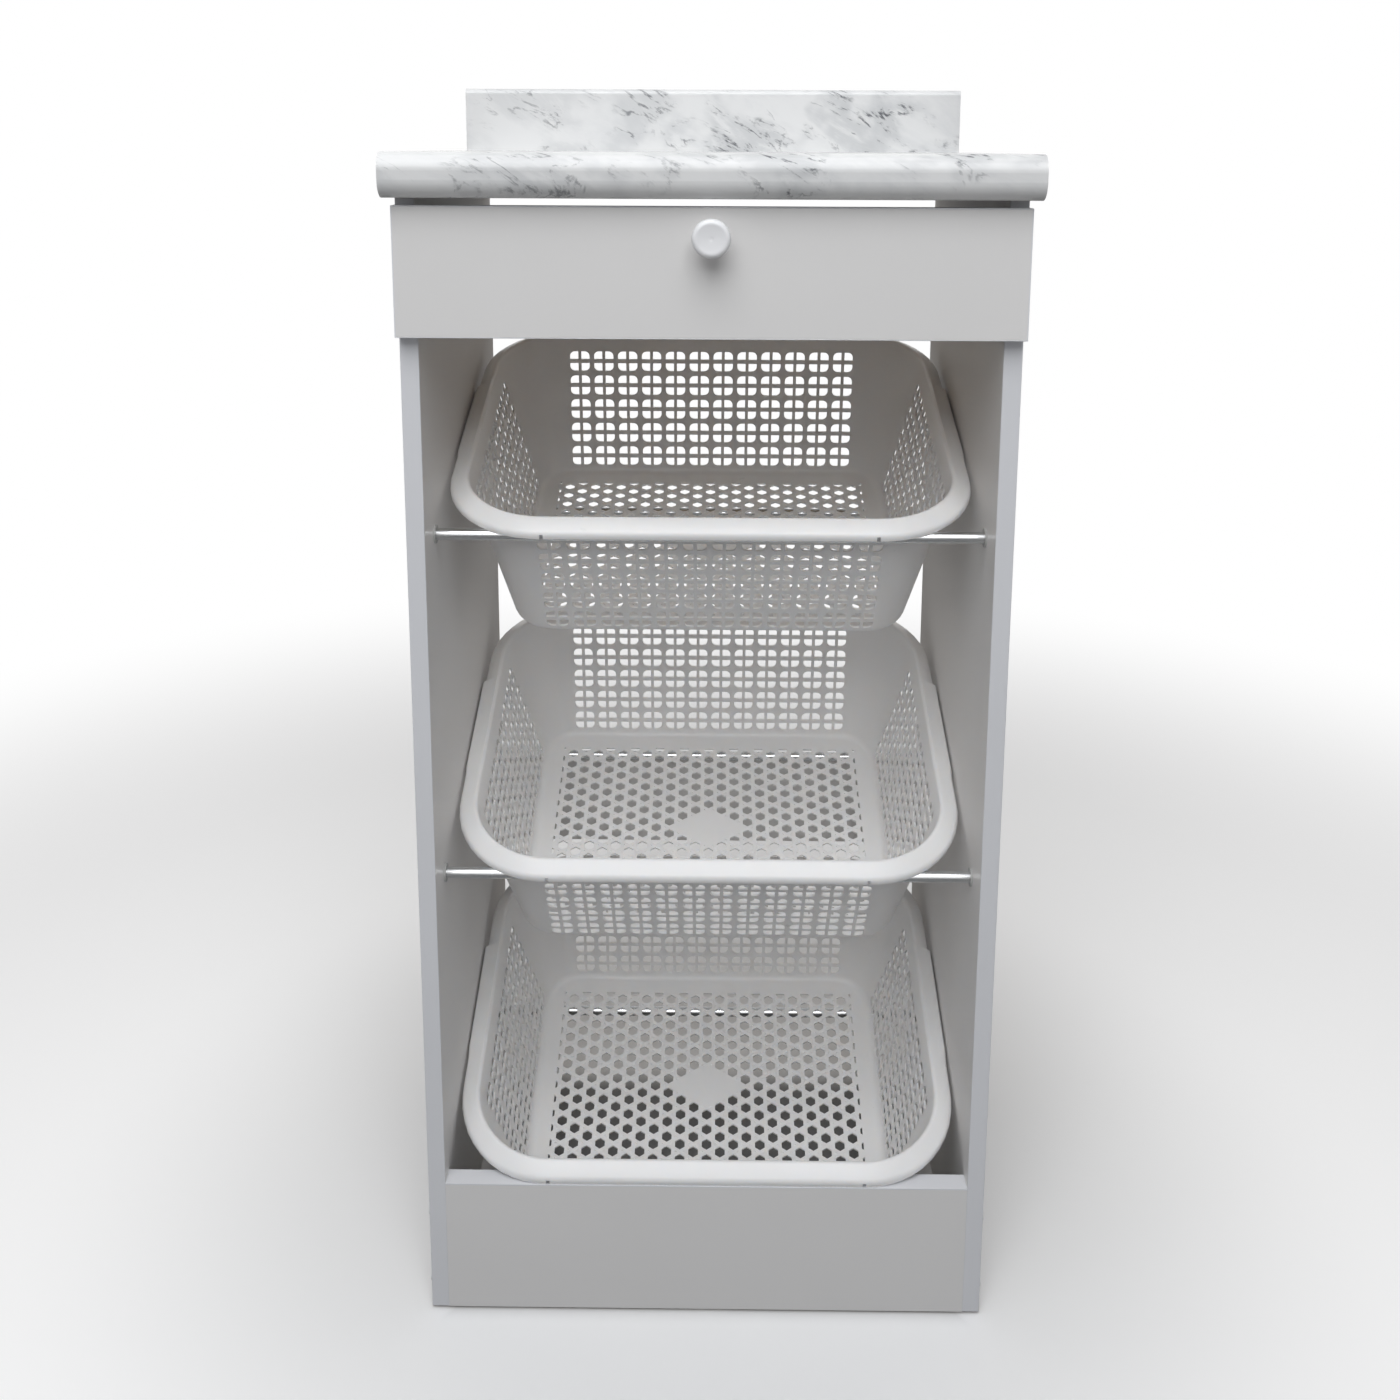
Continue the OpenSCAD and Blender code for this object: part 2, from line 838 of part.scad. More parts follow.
// Rail fixed to the drawer: it wraps the lower edge, and its upper flange rides on the roller
module drawer_runner(side) {
    color(white_plastic)
        from_front()
            on_side(side)
                difference() {
                    union() {
                        translate([box_x, front_back_y, box_z - sheet_t])
                            cube([sheet_t, hanger_l, hanger_z - box_z + 2 * sheet_t]);
                        translate([box_x - box_t, front_back_y, box_z - sheet_t])
                            cube([box_t + sheet_t, hanger_l, sheet_t]);
                        translate([box_x, front_back_y, hanger_z])
                            cube([sheet_t + flange_reach, hanger_l, sheet_t]);
                    }
                    for (y = hanger_screw_ys)
                        hanger_screw(y, fit_gap);
                    along_x(box_x - cut, drawer_roller_y, drawer_roller_z,
                            pin_d + 2 * running_gap, sheet_t + 2 * cut);
                }
}

module roller(x, y, z) {
    difference() {
        along_x(x, y, z, roller_d, roller_w);
        along_x(x - cut, y, z, pin_d + 2 * running_gap, roller_w + 2 * cut);
    }
}

module cabinet_rollers() {
    color(white_plastic)
        from_front()
            for (side = [-1, 1])
                on_side(side)
                    roller(cabinet_roller_x, cabinet_roller_y, cabinet_roller_z);
}

module drawer_rollers() {
    color(white_plastic)
        from_front()
            for (side = [-1, 1])
                on_side(side)
                    roller(drawer_roller_x, drawer_roller_y, drawer_roller_z);
}

module cabinet_roller_pins() {
    color(steel)
        from_front()
            for (side = [-1, 1])
                on_side(side) {
                    tip_x = cabinet_roller_x - running_gap;
                    along_x(tip_x, cabinet_roller_y, cabinet_roller_z, pin_d, inner_x - tip_x);
                    along_x(tip_x - pin_head_t, cabinet_roller_y, cabinet_roller_z, pin_head_d, pin_head_t);
                }
}

module drawer_roller_pins() {
    color(steel)
        from_front()
            for (side = [-1, 1])
                on_side(side) {
                    tip_x = drawer_roller_x + roller_w + running_gap;
                    along_x(box_x, drawer_roller_y, drawer_roller_z, pin_d, tip_x - box_x);
                    along_x(tip_x, drawer_roller_y, drawer_roller_z, pin_head_d, pin_head_t);
                }
}

module cabinet_runner_screws() {
    color(steel)
        from_front()
            for (side = [-1, 1])
                on_side(side)
                    for (y = track_screw_ys) {
                        track_screw(y, 0);
                        along_x(inner_x - sheet_t - runner_screw_head_t, y, track_screw_z,
                                runner_screw_head_d, runner_screw_head_t);
                    }
}

module drawer_runner_screws() {
    color(steel)
        from_front()
            for (side = [-1, 1])
                on_side(side)
                    for (y = hanger_screw_ys) {
                        hanger_screw(y, 0);
                        translate([box_x - box_t / 2, y, box_z - sheet_t - runner_screw_head_t])
                            cylinder(d = runner_screw_head_d, h = runner_screw_head_t);
                    }
}

// Hollow aluminium rod across the cabinet, its ends in the sockets
module rod(place) {
    color(aluminium)
        from_front()
            difference() {
                along_x(-rod_l / 2, place[0], place[1], rod_d, rod_l);
                along_x(-rod_l / 2 - cut, place[0], place[1], rod_d - 2 * rod_wall, rod_l + 2 * cut);
            }
}

module rod_sockets() {
    color(white_plastic)
        from_front()
            for (side = [-1, 1])
                on_side(side)
                    for (place = all_rods)
                        rod_socket(place);
}

// Region that the basket wall encloses at a corner, grown by the skin; x runs out from the axis
module wall_region(skin) {
    bend = bend_r + skin;
    polygon([
        [0, -skin],
        [bend_u, -skin],
        [bend_u, bend_r],
        [bend_u + bend * cos(wall_draft), bend_r - bend * sin(wall_draft)],
        [foot_u + skin, foot_n],
        [0, foot_n]
    ]);
    translate([bend_u, bend_r])
        circle(bend);
}

// Region under the rolled rim, drawn in by inset, down to the height foot
module rim_region(inset, foot) {
    in_r = rim_inner_round - inset;
    out_r = rim_round - inset;
    polygon([
        [foot_u + inset, foot],
        [foot_u + inset, shoulder_in[1]],
        shoulder_in + in_r * band_normal,
        shoulder_out + out_r * band_normal,
        [foot_u + rim_band - inset, shoulder_out[1]],
        [foot_u + rim_band - inset, foot]
    ]);
    translate(shoulder_in)
        circle(in_r);
    translate(shoulder_out)
        circle(out_r);
}

// Section through the floor edge, the wall and the rolled rim of a basket
module basket_section() {
    difference() {
        wall_region(plastic_t);
        wall_region(0);
    }
    difference() {
        intersection() {
            rim_region(0, skirt_n);
            translate([foot_u, skirt_n])
                square([rim_band, skirt_h]);
        }
        rim_region(plastic_t, skirt_n - cut);
        translate([foot_u - cut, skirt_n - cut])
            square([2 * cut + plastic_t, foot_n - leg_l - skirt_n + cut]);
    }
}

// Straight run of a section along the side at distance reach, centred, of the given length
module straight_run(reach, length) {
    translate([reach, length / 2, 0])
        rotate([90, 0, 0])
            linear_extrude(length)
                children();
}

// Openings in one wall, cut square to it; the wall leans out from the floor at distance reach
module wall_grid(reach, side, count) {
    translate([0, reach, 0])
        rotate([90 - wall_draft, 0, 0])
            for (column = [0 : count - 1])
                for (row = [0 : grid_up - 1]) {
                    x = (column - (count - 1) / 2) * pitch_of(side, count);
                    translate([x, grid_low + row * grid_rise, 0])
                        cube([wall_hole, wall_hole, 4 * plastic_t], center = true);
                }
}

// Openings of the floor, round a plain lozenge
module floor_grid() {
    for (column = [0 : grid_long - 1])
        for (row = [0 : grid_rows - 1]) {
            x = (column - (grid_long - 1) / 2) * pitch_of(2 * corner_x, grid_long);
            s = (row - (grid_rows - 1) / 2) * pitch_of(2 * corner_s, grid_rows);
            if (abs(x) / plain_x + abs(s) / plain_s > 1)
                translate([x, s, 0])
                    cube([floor_hole, floor_hole, 4 * plastic_t], center = true);
        }
}

module basket() {
    difference() {
        basket_shell();
        floor_grid();
        for (turn = [0, 180])
            rotate([0, 0, turn]) {
                wall_grid(corner_s + floor_u, 2 * corner_x, grid_long);
                rotate([0, 0, 90])
                    wall_grid(corner_x + floor_u, 2 * corner_s, grid_short);
            }
    }
}

// Shell of a basket, without the grid of openings
module basket_shell() {
    difference() {
        union() {
            translate([-corner_x, -corner_s, -plastic_t])
                cube([2 * corner_x, 2 * corner_s, plastic_t]);
            for (turn = [0, 180])
                rotate([0, 0, turn]) {
                    translate([corner_x, corner_s, 0])
                        rotate_extrude(angle = 90)
                            basket_section();
                    translate([-corner_x, corner_s, 0])
                        rotate([0, 0, 90])
                            rotate_extrude(angle = 90)
                                basket_section();
                    straight_run(corner_x, 2 * corner_s)
                        basket_section();
                    rotate([0, 0, 90])
                        straight_run(corner_s, 2 * corner_x)
                            basket_section();
                    translate([basket_w / 2 - plastic_t, -grip_l / 2, basket_h - grip_h])
                        cube([plastic_t + grip_out, grip_l, grip_h - rim_drop - rim_round + plastic_t]);
                }
        }
        for (x = [-notch_x, notch_x])
            for (s = [-basket_l / 2, basket_l / 2])
                translate([x - notch_w / 2, s - 2 * plastic_t, skirt_n - cut])
                    cube([notch_w, 4 * plastic_t, notch_h + cut]);
    }
}

// Puts a basket at its place and tilt
module tilted_basket(at, tilt) {
    color(basket_white)
        from_front()
            translate([0, at[0], at[1]])
                rotate([tilt, 0, 0])
                    basket();
}

module panel_screws() {
    color(steel)
        from_front()
            for (side = [-1, 1])
                on_side(side)
                    for (place = panel_screw_places)
                        panel_screw(place, 0);
}

module panel_screw_caps() {
    color(white_plastic)
        from_front()
            for (side = [-1, 1])
                on_side(side)
                    for (place = panel_screw_places)
                        along_x(body_w / 2, place[0], place[1], cap_d, cap_t);
}

module worktop_dowels() {
    color(beech)
        from_front()
            for (side = [-1, 1])
                on_side(side)
                    for (y = dowel_ys)
                        dowel(y, 0);
}

module cam_locks() {
    color(steel)
        from_front()
            for (side = [-1, 1])
                on_side(side)
                    for (y = cam_ys)
                        difference() {
                            cam_lock(y, 0);
                            cam_bolt(y, fit_gap);
                        }
}

module cam_bolts() {
    color(steel)
        from_front()
            for (side = [-1, 1])
                on_side(side)
                    for (y = cam_ys)
                        cam_bolt(y, 0);
}

module floor_glides() {
    color(white_plastic)
        from_front() {
            for (side = [-1, 1])
                on_side(side)
                    for (y = glide_ys)
                        glide(y, 0);
            translate([-glide_l / 2, (plinth_t - glide_w) / 2, 0])
                cube([glide_l, glide_w, glide_t]);
            translate([0, plinth_t / 2, 0])
                cylinder(d = glide_nail_d, h = glide_t + glide_nail_l);
        }
}

module bumper_pads() {
    color(white_plastic)
        from_front()
            for (side = [-1, 1])
                on_side(side)
                    for (z = pad_zs)
                        translate([cam_x, 0, z])
                            rotate([90, 0, 0])
                                cylinder(d = pad_d, h = pad_t);
}

side_panel(-1);  // side_panel_left
side_panel(1);  // side_panel_right
edge_band(-1);  // edge_band_left
edge_band(1);  // edge_band_right
plinth_board();
plinth_edging();
rear_rail();
worktop_core();
worktop_laminate();
worktop_end_strips();
backsplash_core();
backsplash_laminate();
backsplash_end_strips();
backsplash_screws();
drawer_front();
drawer_front_edging();
drawer_inner_front();
drawer_side(-1);  // drawer_side_left
drawer_side(1);  // drawer_side_right
drawer_back();
drawer_bottom();
drawer_box_screws();
drawer_front_screws();
knob();
knob_screw();
cabinet_runner(-1);  // cabinet_runner_left
cabinet_runner(1);  // cabinet_runner_right
drawer_runner(-1);  // drawer_runner_left
drawer_runner(1);  // drawer_runner_right
cabinet_rollers();
drawer_rollers();
cabinet_roller_pins();
drawer_roller_pins();
cabinet_runner_screws();
drawer_runner_screws();
rod(front_rods[0]);  // front_rod_upper
rod(front_rods[1]);  // front_rod_middle
rod(upper_rear);  // rear_rod_upper
rod(middle_rear);  // rear_rod_middle
rod(lower_rear);  // rear_rod_lower
rod_sockets();
tilted_basket(upper_at, upper_tilt);  // basket_upper
tilted_basket(middle_at, middle_tilt);  // basket_middle
tilted_basket(lower_at, lower_tilt);  // basket_lower
panel_screws();
panel_screw_caps();
worktop_dowels();
cam_locks();
cam_bolts();
floor_glides();
bumper_pads();
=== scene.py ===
import math

import bmesh
import bpy
from mathutils import Matrix, Vector
from mathutils.geometry import delaunay_2d_cdt


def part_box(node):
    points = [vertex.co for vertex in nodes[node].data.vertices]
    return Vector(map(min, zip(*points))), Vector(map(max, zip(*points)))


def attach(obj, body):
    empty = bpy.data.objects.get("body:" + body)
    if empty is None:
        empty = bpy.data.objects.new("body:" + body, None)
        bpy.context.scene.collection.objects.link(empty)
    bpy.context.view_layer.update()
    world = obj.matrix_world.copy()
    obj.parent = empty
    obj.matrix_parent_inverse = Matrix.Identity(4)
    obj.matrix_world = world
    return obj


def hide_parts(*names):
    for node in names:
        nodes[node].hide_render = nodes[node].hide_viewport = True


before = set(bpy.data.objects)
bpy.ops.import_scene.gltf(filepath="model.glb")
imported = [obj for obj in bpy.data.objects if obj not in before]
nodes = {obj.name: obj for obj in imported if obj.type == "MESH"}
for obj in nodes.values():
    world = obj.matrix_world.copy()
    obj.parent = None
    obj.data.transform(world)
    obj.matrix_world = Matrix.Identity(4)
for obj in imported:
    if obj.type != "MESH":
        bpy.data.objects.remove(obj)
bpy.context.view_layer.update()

# Side panels.
# Boards of chipboard faced with white melamine, sawn to size. Only the front edge is banded, so
# the raw chipboard shows at the back, top and bottom edges. Everything else hangs between them.


def new_finish(name, colour, roughness, metallic=0.0):
    """Starts a finish, and gives it, its node tree and its shader."""
    finish = bpy.data.materials.new(name)
    finish.use_nodes = True
    tree = finish.node_tree
    shader = tree.nodes["Principled BSDF"]
    shader.inputs["Base Color"].default_value = (*colour, 1.0)
    shader.inputs["Roughness"].default_value = roughness
    shader.inputs["Metallic"].default_value = metallic
    return finish, tree, shader


def ramp(tree, source, low, high):
    """Turns a value into a mask that is 0 below low and 1 above high."""
    mask = tree.nodes.new("ShaderNodeMapRange")
    mask.interpolation_type = "SMOOTHSTEP"
    mask.inputs["From Min"].default_value = low
    mask.inputs["From Max"].default_value = high
    tree.links.new(source, mask.inputs["Value"])
    return mask.outputs["Result"]


def blend(tree, mask, first, second):
    """Mixes two colours, each a colour or a socket, by a mask."""
    mix = tree.nodes.new("ShaderNodeMix")
    mix.data_type = "RGBA"
    tree.links.new(mask, mix.inputs["Factor"])
    for socket, colour in ((mix.inputs["A"], first), (mix.inputs["B"], second)):
        if isinstance(colour, tuple):
            socket.default_value = (*colour, 1.0)
        else:
            tree.links.new(colour, socket)
    return mix.outputs["Result"]


def combine(tree, operation, *values):
    """Joins values, each a number or a socket, by a sum, a product or the like."""
    node = tree.nodes.new("ShaderNodeMath")
    node.operation = operation
    for socket, value in zip(node.inputs, values):
        if isinstance(value, (int, float)):
            socket.default_value = value
        else:
            tree.links.new(value, socket)
    return node.outputs["Value"]


def noise(tree, scale, detail=2.0, rough=0.5, vector=None, warp=0.0):
    """Noise over the piece's own coordinates, or over a given vector."""
    node = tree.nodes.new("ShaderNodeTexNoise")
    node.inputs["Scale"].default_value = scale
    node.inputs["Detail"].default_value = detail
    node.inputs["Roughness"].default_value = rough
    node.inputs["Distortion"].default_value = warp
    if vector is None:
        vector = tree.nodes.new("ShaderNodeTexCoord").outputs["Object"]
    tree.links.new(vector, node.inputs["Vector"])
    return node.outputs["Fac"]


def relief(tree, shader, height, depth, strength=1.0):
    """Feeds a height to the shader's normal as bump."""
    bump = tree.nodes.new("ShaderNodeBump")
    bump.inputs["Strength"].default_value = strength
    bump.inputs["Distance"].default_value = depth
    tree.links.new(height, bump.inputs["Height"])
    tree.links.new(bump.outputs["Normal"], shader.inputs["Normal"])


def new_effect(name, inputs, outputs):
    """Starts a shader node group with named sockets, each (name, kind, value)."""
    group = bpy.data.node_groups.new(name, "ShaderNodeTree")
    for socket_name, kind, value in inputs:
        socket = group.interface.new_socket(socket_name, in_out="INPUT", socket_type=kind)
        socket.default_value = value
    for socket_name, kind in outputs:
        group.interface.new_socket(socket_name, in_out="OUTPUT", socket_type=kind)
    return group, group.nodes.new("NodeGroupInput"), group.nodes.new("NodeGroupOutput")


def place_effect(tree, group, **values):
    """Puts an effect into a finish with its own values."""
    node = tree.nodes.new("ShaderNodeGroup")
    node.node_tree = group
    for name, value in values.items():
        node.inputs[name.replace("_", " ")].default_value = value
    return node.outputs


# Fine unevenness of a pressed or moulded surface, with a slow change of tone
surface_texture, texture_in, texture_out = new_effect(
    "surface_texture",
    [("Grain", "NodeSocketFloat", 900.0), ("Tone Change", "NodeSocketFloat", 0.03)],
    [("Height", "NodeSocketFloat"), ("Tone", "NodeSocketFloat")],
)
grain = surface_texture.nodes.new("ShaderNodeTexNoise")
grain.inputs["Detail"].default_value = 3.0
place = surface_texture.nodes.new("ShaderNodeTexCoord")
surface_texture.links.new(place.outputs["Object"], grain.inputs["Vector"])
surface_texture.links.new(texture_in.outputs["Grain"], grain.inputs["Scale"])
surface_texture.links.new(grain.outputs["Fac"], texture_out.inputs["Height"])
slow = noise(surface_texture, 7.0, 3.0)
swing = combine(surface_texture, "SUBTRACT", slow, 0.5)
swing = combine(surface_texture, "MULTIPLY", swing, texture_in.outputs["Tone Change"])
tone = combine(surface_texture, "ADD", swing, 1.0)
surface_texture.links.new(tone, texture_out.inputs["Tone"])

# Pressed wood chips, as they show on a sawn edge
chip_texture, _, chip_out = new_effect(
    "chip_texture", [], [("Color", "NodeSocketColor"), ("Height", "NodeSocketFloat")]
)
chips = chip_texture.nodes.new("ShaderNodeTexVoronoi")
chips.inputs["Scale"].default_value = 420.0
place = chip_texture.nodes.new("ShaderNodeTexCoord")
chip_texture.links.new(place.outputs["Object"], chips.inputs["Vector"])
chip_tone = chip_texture.nodes.new("ShaderNodeSeparateColor")
chip_texture.links.new(chips.outputs["Color"], chip_tone.inputs["Color"])
chip_colour = blend(chip_texture, chip_tone.outputs["Red"], (0.42, 0.28, 0.16), (0.74, 0.58, 0.39))
chip_texture.links.new(chip_colour, chip_out.inputs["Color"])
chip_texture.links.new(chip_tone.outputs["Green"], chip_out.inputs["Height"])


def toned(tree, colour, tone):
    """Multiplies a colour by a slow change of tone."""
    mix = tree.nodes.new("ShaderNodeVectorMath")
    mix.operation = "SCALE"
    if isinstance(colour, tuple):
        mix.inputs[0].default_value = colour
    else:
        tree.links.new(colour, mix.inputs[0])
    tree.links.new(tone, mix.inputs["Scale"])
    return mix.outputs["Vector"]


MELAMINE = (0.832, 0.819, 0.806)
FACE_ROUGHNESS, RAW_EXTRA_ROUGHNESS = 0.42, 0.4


def board_finish(name, raw_ways):
    """Melamine on the faces, and raw chipboard where the surface faces one of raw_ways."""
    finish, tree, shader = new_finish(name, MELAMINE, FACE_ROUGHNESS)
    texture = place_effect(tree, surface_texture, Grain=1500.0, Tone_Change=0.05)
    raw = place_effect(tree, chip_texture)
    coordinates = tree.nodes.new("ShaderNodeTexCoord")
    facing = tree.nodes.new("ShaderNodeSeparateXYZ")
    tree.links.new(coordinates.outputs["Normal"], facing.inputs["Vector"])
    mask = None
    for way in raw_ways:
        sign = -1.0 if way[0] == "-" else 1.0
        value = combine(tree, "MULTIPLY", facing.outputs[way[-1]], sign)
        edge = ramp(tree, value, 0.7, 0.9)
        mask = edge if mask is None else combine(tree, "MAXIMUM", mask, edge)
    faced = toned(tree, MELAMINE, texture["Tone"])
    tree.links.new(blend(tree, mask, faced, raw["Color"]), shader.inputs["Base Color"])
    rough = combine(tree, "MULTIPLY_ADD", mask, RAW_EXTRA_ROUGHNESS, FACE_ROUGHNESS)
    tree.links.new(rough, shader.inputs["Roughness"])
    raw_height = combine(tree, "MULTIPLY", raw["Height"], mask)
    height = combine(tree, "ADD", texture["Height"], raw_height)
    relief(tree, shader, height, 0.00006, 0.5)
    return finish


def give(names, finish):
    """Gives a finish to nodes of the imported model."""
    for name in names:
        slots = nodes[name].material_slots
        for slot in slots:
            slot.link = "OBJECT"
            slot.material = finish
        if not slots:
            nodes[name].data.materials.append(finish)


give(["side_panel_left", "side_panel_right"], board_finish("panel_board", ["Y", "Z", "-Z"]))

# Edge bands.
# Strips of white plastic, 1 mm thick, glued to the front edges of the panels, to the top of the
# plinth and round the drawer front. Their long edges are scraped to a small radius.


def soften(names, width):
    """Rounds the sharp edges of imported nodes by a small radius."""
    for name in names:
        weld = nodes[name].modifiers.new("weld", "WELD")
        weld.merge_threshold = 0.00001
        bevel = nodes[name].modifiers.new("scraped_edge", "BEVEL")
        bevel.width = width
        bevel.segments = 2
        bevel.limit_method = "ANGLE"
        bevel.angle_limit = math.radians(50)
        bevel.harden_normals = False


def even_finish(name, colour, roughness, grain, tone_change, depth, strength, metallic=0.0):
    """One colour with a fine unevenness, depth in metres, and a slow change of tone."""
    finish, tree, shader = new_finish(name, colour, roughness, metallic)
    texture = place_effect(tree, surface_texture, Grain=grain, Tone_Change=tone_change)
    tree.links.new(toned(tree, colour, texture["Tone"]), shader.inputs["Base Color"])
    relief(tree, shader, texture["Height"], depth, strength)
    return finish


band_finish = even_finish(
    "band_plastic", (0.81, 0.816, 0.842), 0.38, 1100.0, 0.06, 0.00005, 0.5
)
band_nodes = ["edge_band_left", "edge_band_right", "plinth_edging", "drawer_front_edging"]
give(band_nodes, band_finish)
soften(["edge_band_left", "edge_band_right"], 0.0006)

# Plinth and rear rail.
# Boards screwed between the panels. The plinth carries the lower basket on its banded top edge,
# and the rail stiffens the open back, between the lower basket and the middle one.
give(["plinth_board", "rear_rail"], board_finish("cross_board", ["Z", "-Z"]))

# Panel screws and caps.
# Countersunk steel screws through the panels into the plinth and the rail, under glued plastic
# caps. Dowels and cam locks with steel bolts hold the worktop down.
steel_finish = even_finish(
    "plated_steel", (0.56, 0.57, 0.58), 0.35, 1800.0, 0.25, 0.00003, 0.5, metallic=1.0
)
give(["panel_screws", "cam_bolts"], steel_finish)
moulded_finish = even_finish(
    "white_moulding", (0.92, 0.92, 0.93), 0.3, 700.0, 0.04, 0.00003, 0.4
)
give(["panel_screw_caps"], moulded_finish)
zinc_finish = even_finish(
    "cast_zinc", (0.5, 0.5, 0.51), 0.45, 900.0, 0.2, 0.00006, 0.6, metallic=1.0
)
give(["cam_locks"], zinc_finish)
beech_finish, beech_tree, beech_shader = new_finish("beech_wood", (0.56, 0.38, 0.22), 0.6)
beech_place = beech_tree.nodes.new("ShaderNodeMapping")
beech_place.inputs["Scale"].default_value = (1.0, 1.0, 0.06)
beech_coordinates = beech_tree.nodes.new("ShaderNodeTexCoord")
beech_tree.links.new(beech_coordinates.outputs["Object"], beech_place.inputs["Vector"])
beech_grain = noise(beech_tree, 1400.0, 3.0, 0.6, beech_place.outputs["Vector"])
beech_colour = blend(beech_tree, beech_grain, (0.42, 0.26, 0.13), (0.68, 0.5, 0.32))
beech_tree.links.new(beech_colour, beech_shader.inputs["Base Color"])
relief(beech_tree, beech_shader, beech_grain, 0.0001, 0.5)
give(["worktop_dowels"], beech_finish)

# Floor glides and bumper pads.
# White plastic strips nailed under the panels and the plinth, and small round pads stuck to the
# front edges of the panels, on which the drawer front closes.
pad_finish = even_finish(
    "soft_plastic", (0.78, 0.78, 0.77), 0.55, 1300.0, 0.12, 0.0001, 0.5
)
give(["floor_glides", "bumper_pads"], pad_finish)

# Worktop.
# Chipboard with a laminate that wraps its rounded front edge, printed as white marble with short
# grey veins that run down to the right. Strips of the same laminate close the two ends.
WHITE_STONE = (0.825, 0.825, 0.82)
SOFT_CLOUD = (0.72, 0.725, 0.73)
GREY_SMEAR = (0.53, 0.54, 0.55)
DARK_VEIN = (0.14, 0.145, 0.16)
VEIN_SLANT = math.radians(33)
SHEEN_LOW, SHEEN_SPREAD = 0.19, 0.1
marble_finish, marble_tree, marble_shader = new_finish("marble_laminate", WHITE_STONE, 0.24)
marble_shader.inputs["Specular IOR Level"].default_value = 0.55
links = marble_tree.links
marble_place = marble_tree.nodes.new("ShaderNodeTexCoord")
split = marble_tree.nodes.new("ShaderNodeSeparateXYZ")
links.new(marble_place.outputs["Object"], split.inputs["Vector"])
# The print runs over the rounded edge, so its second direction is depth and height together, and
# their difference is a third one that keeps the ends from being striped
unrolled = marble_tree.nodes.new("ShaderNodeCombineXYZ")
links.new(split.outputs["X"], unrolled.inputs["X"])
over_edge = combine(marble_tree, "ADD", split.outputs["Y"], split.outputs["Z"])
links.new(over_edge, unrolled.inputs["Y"])
aside = combine(marble_tree, "SUBTRACT", split.outputs["Y"], split.outputs["Z"])
links.new(combine(marble_tree, "MULTIPLY", aside, 0.5), unrolled.inputs["Z"])
slanted = marble_tree.nodes.new("ShaderNodeMapping")
slanted.vector_type = "TEXTURE"
slanted.inputs["Rotation"].default_value = (0.0, 0.0, -VEIN_SLANT)
slanted.inputs["Scale"].default_value = (2.3, 0.8, 1.0)
links.new(unrolled.outputs["Vector"], slanted.inputs["Vector"])
print_vector = slanted.outputs["Vector"]
across_print = unrolled.outputs["Vector"]


def vein_lines(scale, sharp, soft, warp):
    """1 on thin lines where a noise passes its middle value, 0 away from them."""
    level = noise(marble_tree, scale, 9.0, 0.6, print_vector, warp)
    distance = combine(marble_tree, "ABSOLUTE", combine(marble_tree, "SUBTRACT", level, 0.5))
    return combine(marble_tree, "SUBTRACT", 1.0, ramp(marble_tree, distance, sharp, soft))


# The print is fuller on the right, and its veins come in patches
denser = ramp(marble_tree, split.outputs["X"], -0.3, 0.12)
denser = combine(marble_tree, "ADD", combine(marble_tree, "MULTIPLY", denser, 0.55), 0.45)
patches = ramp(marble_tree, noise(marble_tree, 14.0, 3.0, 0.55, across_print), 0.44, 0.6)
patches = combine(marble_tree, "MULTIPLY", patches, denser)
breaks = ramp(marble_tree, noise(marble_tree, 150.0, 4.0, 0.6, print_vector), 0.44, 0.6)
strokes = combine(marble_tree, "MULTIPLY", vein_lines(30.0, 0.004, 0.034, 0.7), breaks)
strokes = combine(marble_tree, "MULTIPLY", strokes, patches)
smears = combine(marble_tree, "MULTIPLY", vein_lines(20.0, 0.01, 0.13, 0.4), patches)
smears = combine(marble_tree, "MULTIPLY", smears, 0.6)
clouds = ramp(marble_tree, noise(marble_tree, 26.0, 6.0, 0.62, print_vector, 0.3), 0.42, 0.74)
clouds = combine(marble_tree, "MULTIPLY", clouds, denser)
marble_colour = blend(marble_tree, clouds, WHITE_STONE, SOFT_CLOUD)
marble_colour = blend(marble_tree, smears, marble_colour, GREY_SMEAR)
marble_colour = blend(marble_tree, strokes, marble_colour, DARK_VEIN)
links.new(marble_colour, marble_shader.inputs["Base Color"])
wear = noise(marble_tree, 60.0, 3.0)
sheen = combine(marble_tree, "MULTIPLY_ADD", wear, SHEEN_SPREAD, SHEEN_LOW)
links.new(sheen, marble_shader.inputs["Roughness"])
relief(marble_tree, marble_shader, noise(marble_tree, 500.0, 2.0), 0.00003, 0.4)
give(["worktop_laminate", "worktop_end_strips"], marble_finish)

core_finish, core_tree, core_shader = new_finish("bare_chipboard", (0.5, 0.36, 0.21), 0.85)
core_chips = place_effect(core_tree, chip_texture)
core_tree.links.new(core_chips["Color"], core_shader.inputs["Base Color"])
relief(core_tree, core_shader, core_chips["Height"], 0.0003, 0.6)
give(["worktop_core"], core_finish)

# Backsplash.
# A strip of the same board, screwed on from below along the back of the worktop, with the
# laminate over its rounded upper edge and end strips.
give(["backsplash_laminate", "backsplash_end_strips"], marble_finish)
give(["backsplash_core"], core_finish)
give(["backsplash_screws"], steel_finish)

# Drawer box.
# Two sides, inner front and back of 12 mm melamine board, screwed at the corners, with a thin
# white bottom in grooves. The top edges of the boards are banded and the lower ones are raw.
box_boards = ["drawer_inner_front", "drawer_side_left", "drawer_side_right", "drawer_back"]
give(box_boards + ["drawer_bottom"], board_finish("drawer_board", ["-Z"]))
give(["drawer_box_screws", "drawer_front_screws", "knob_screw"], steel_finish)

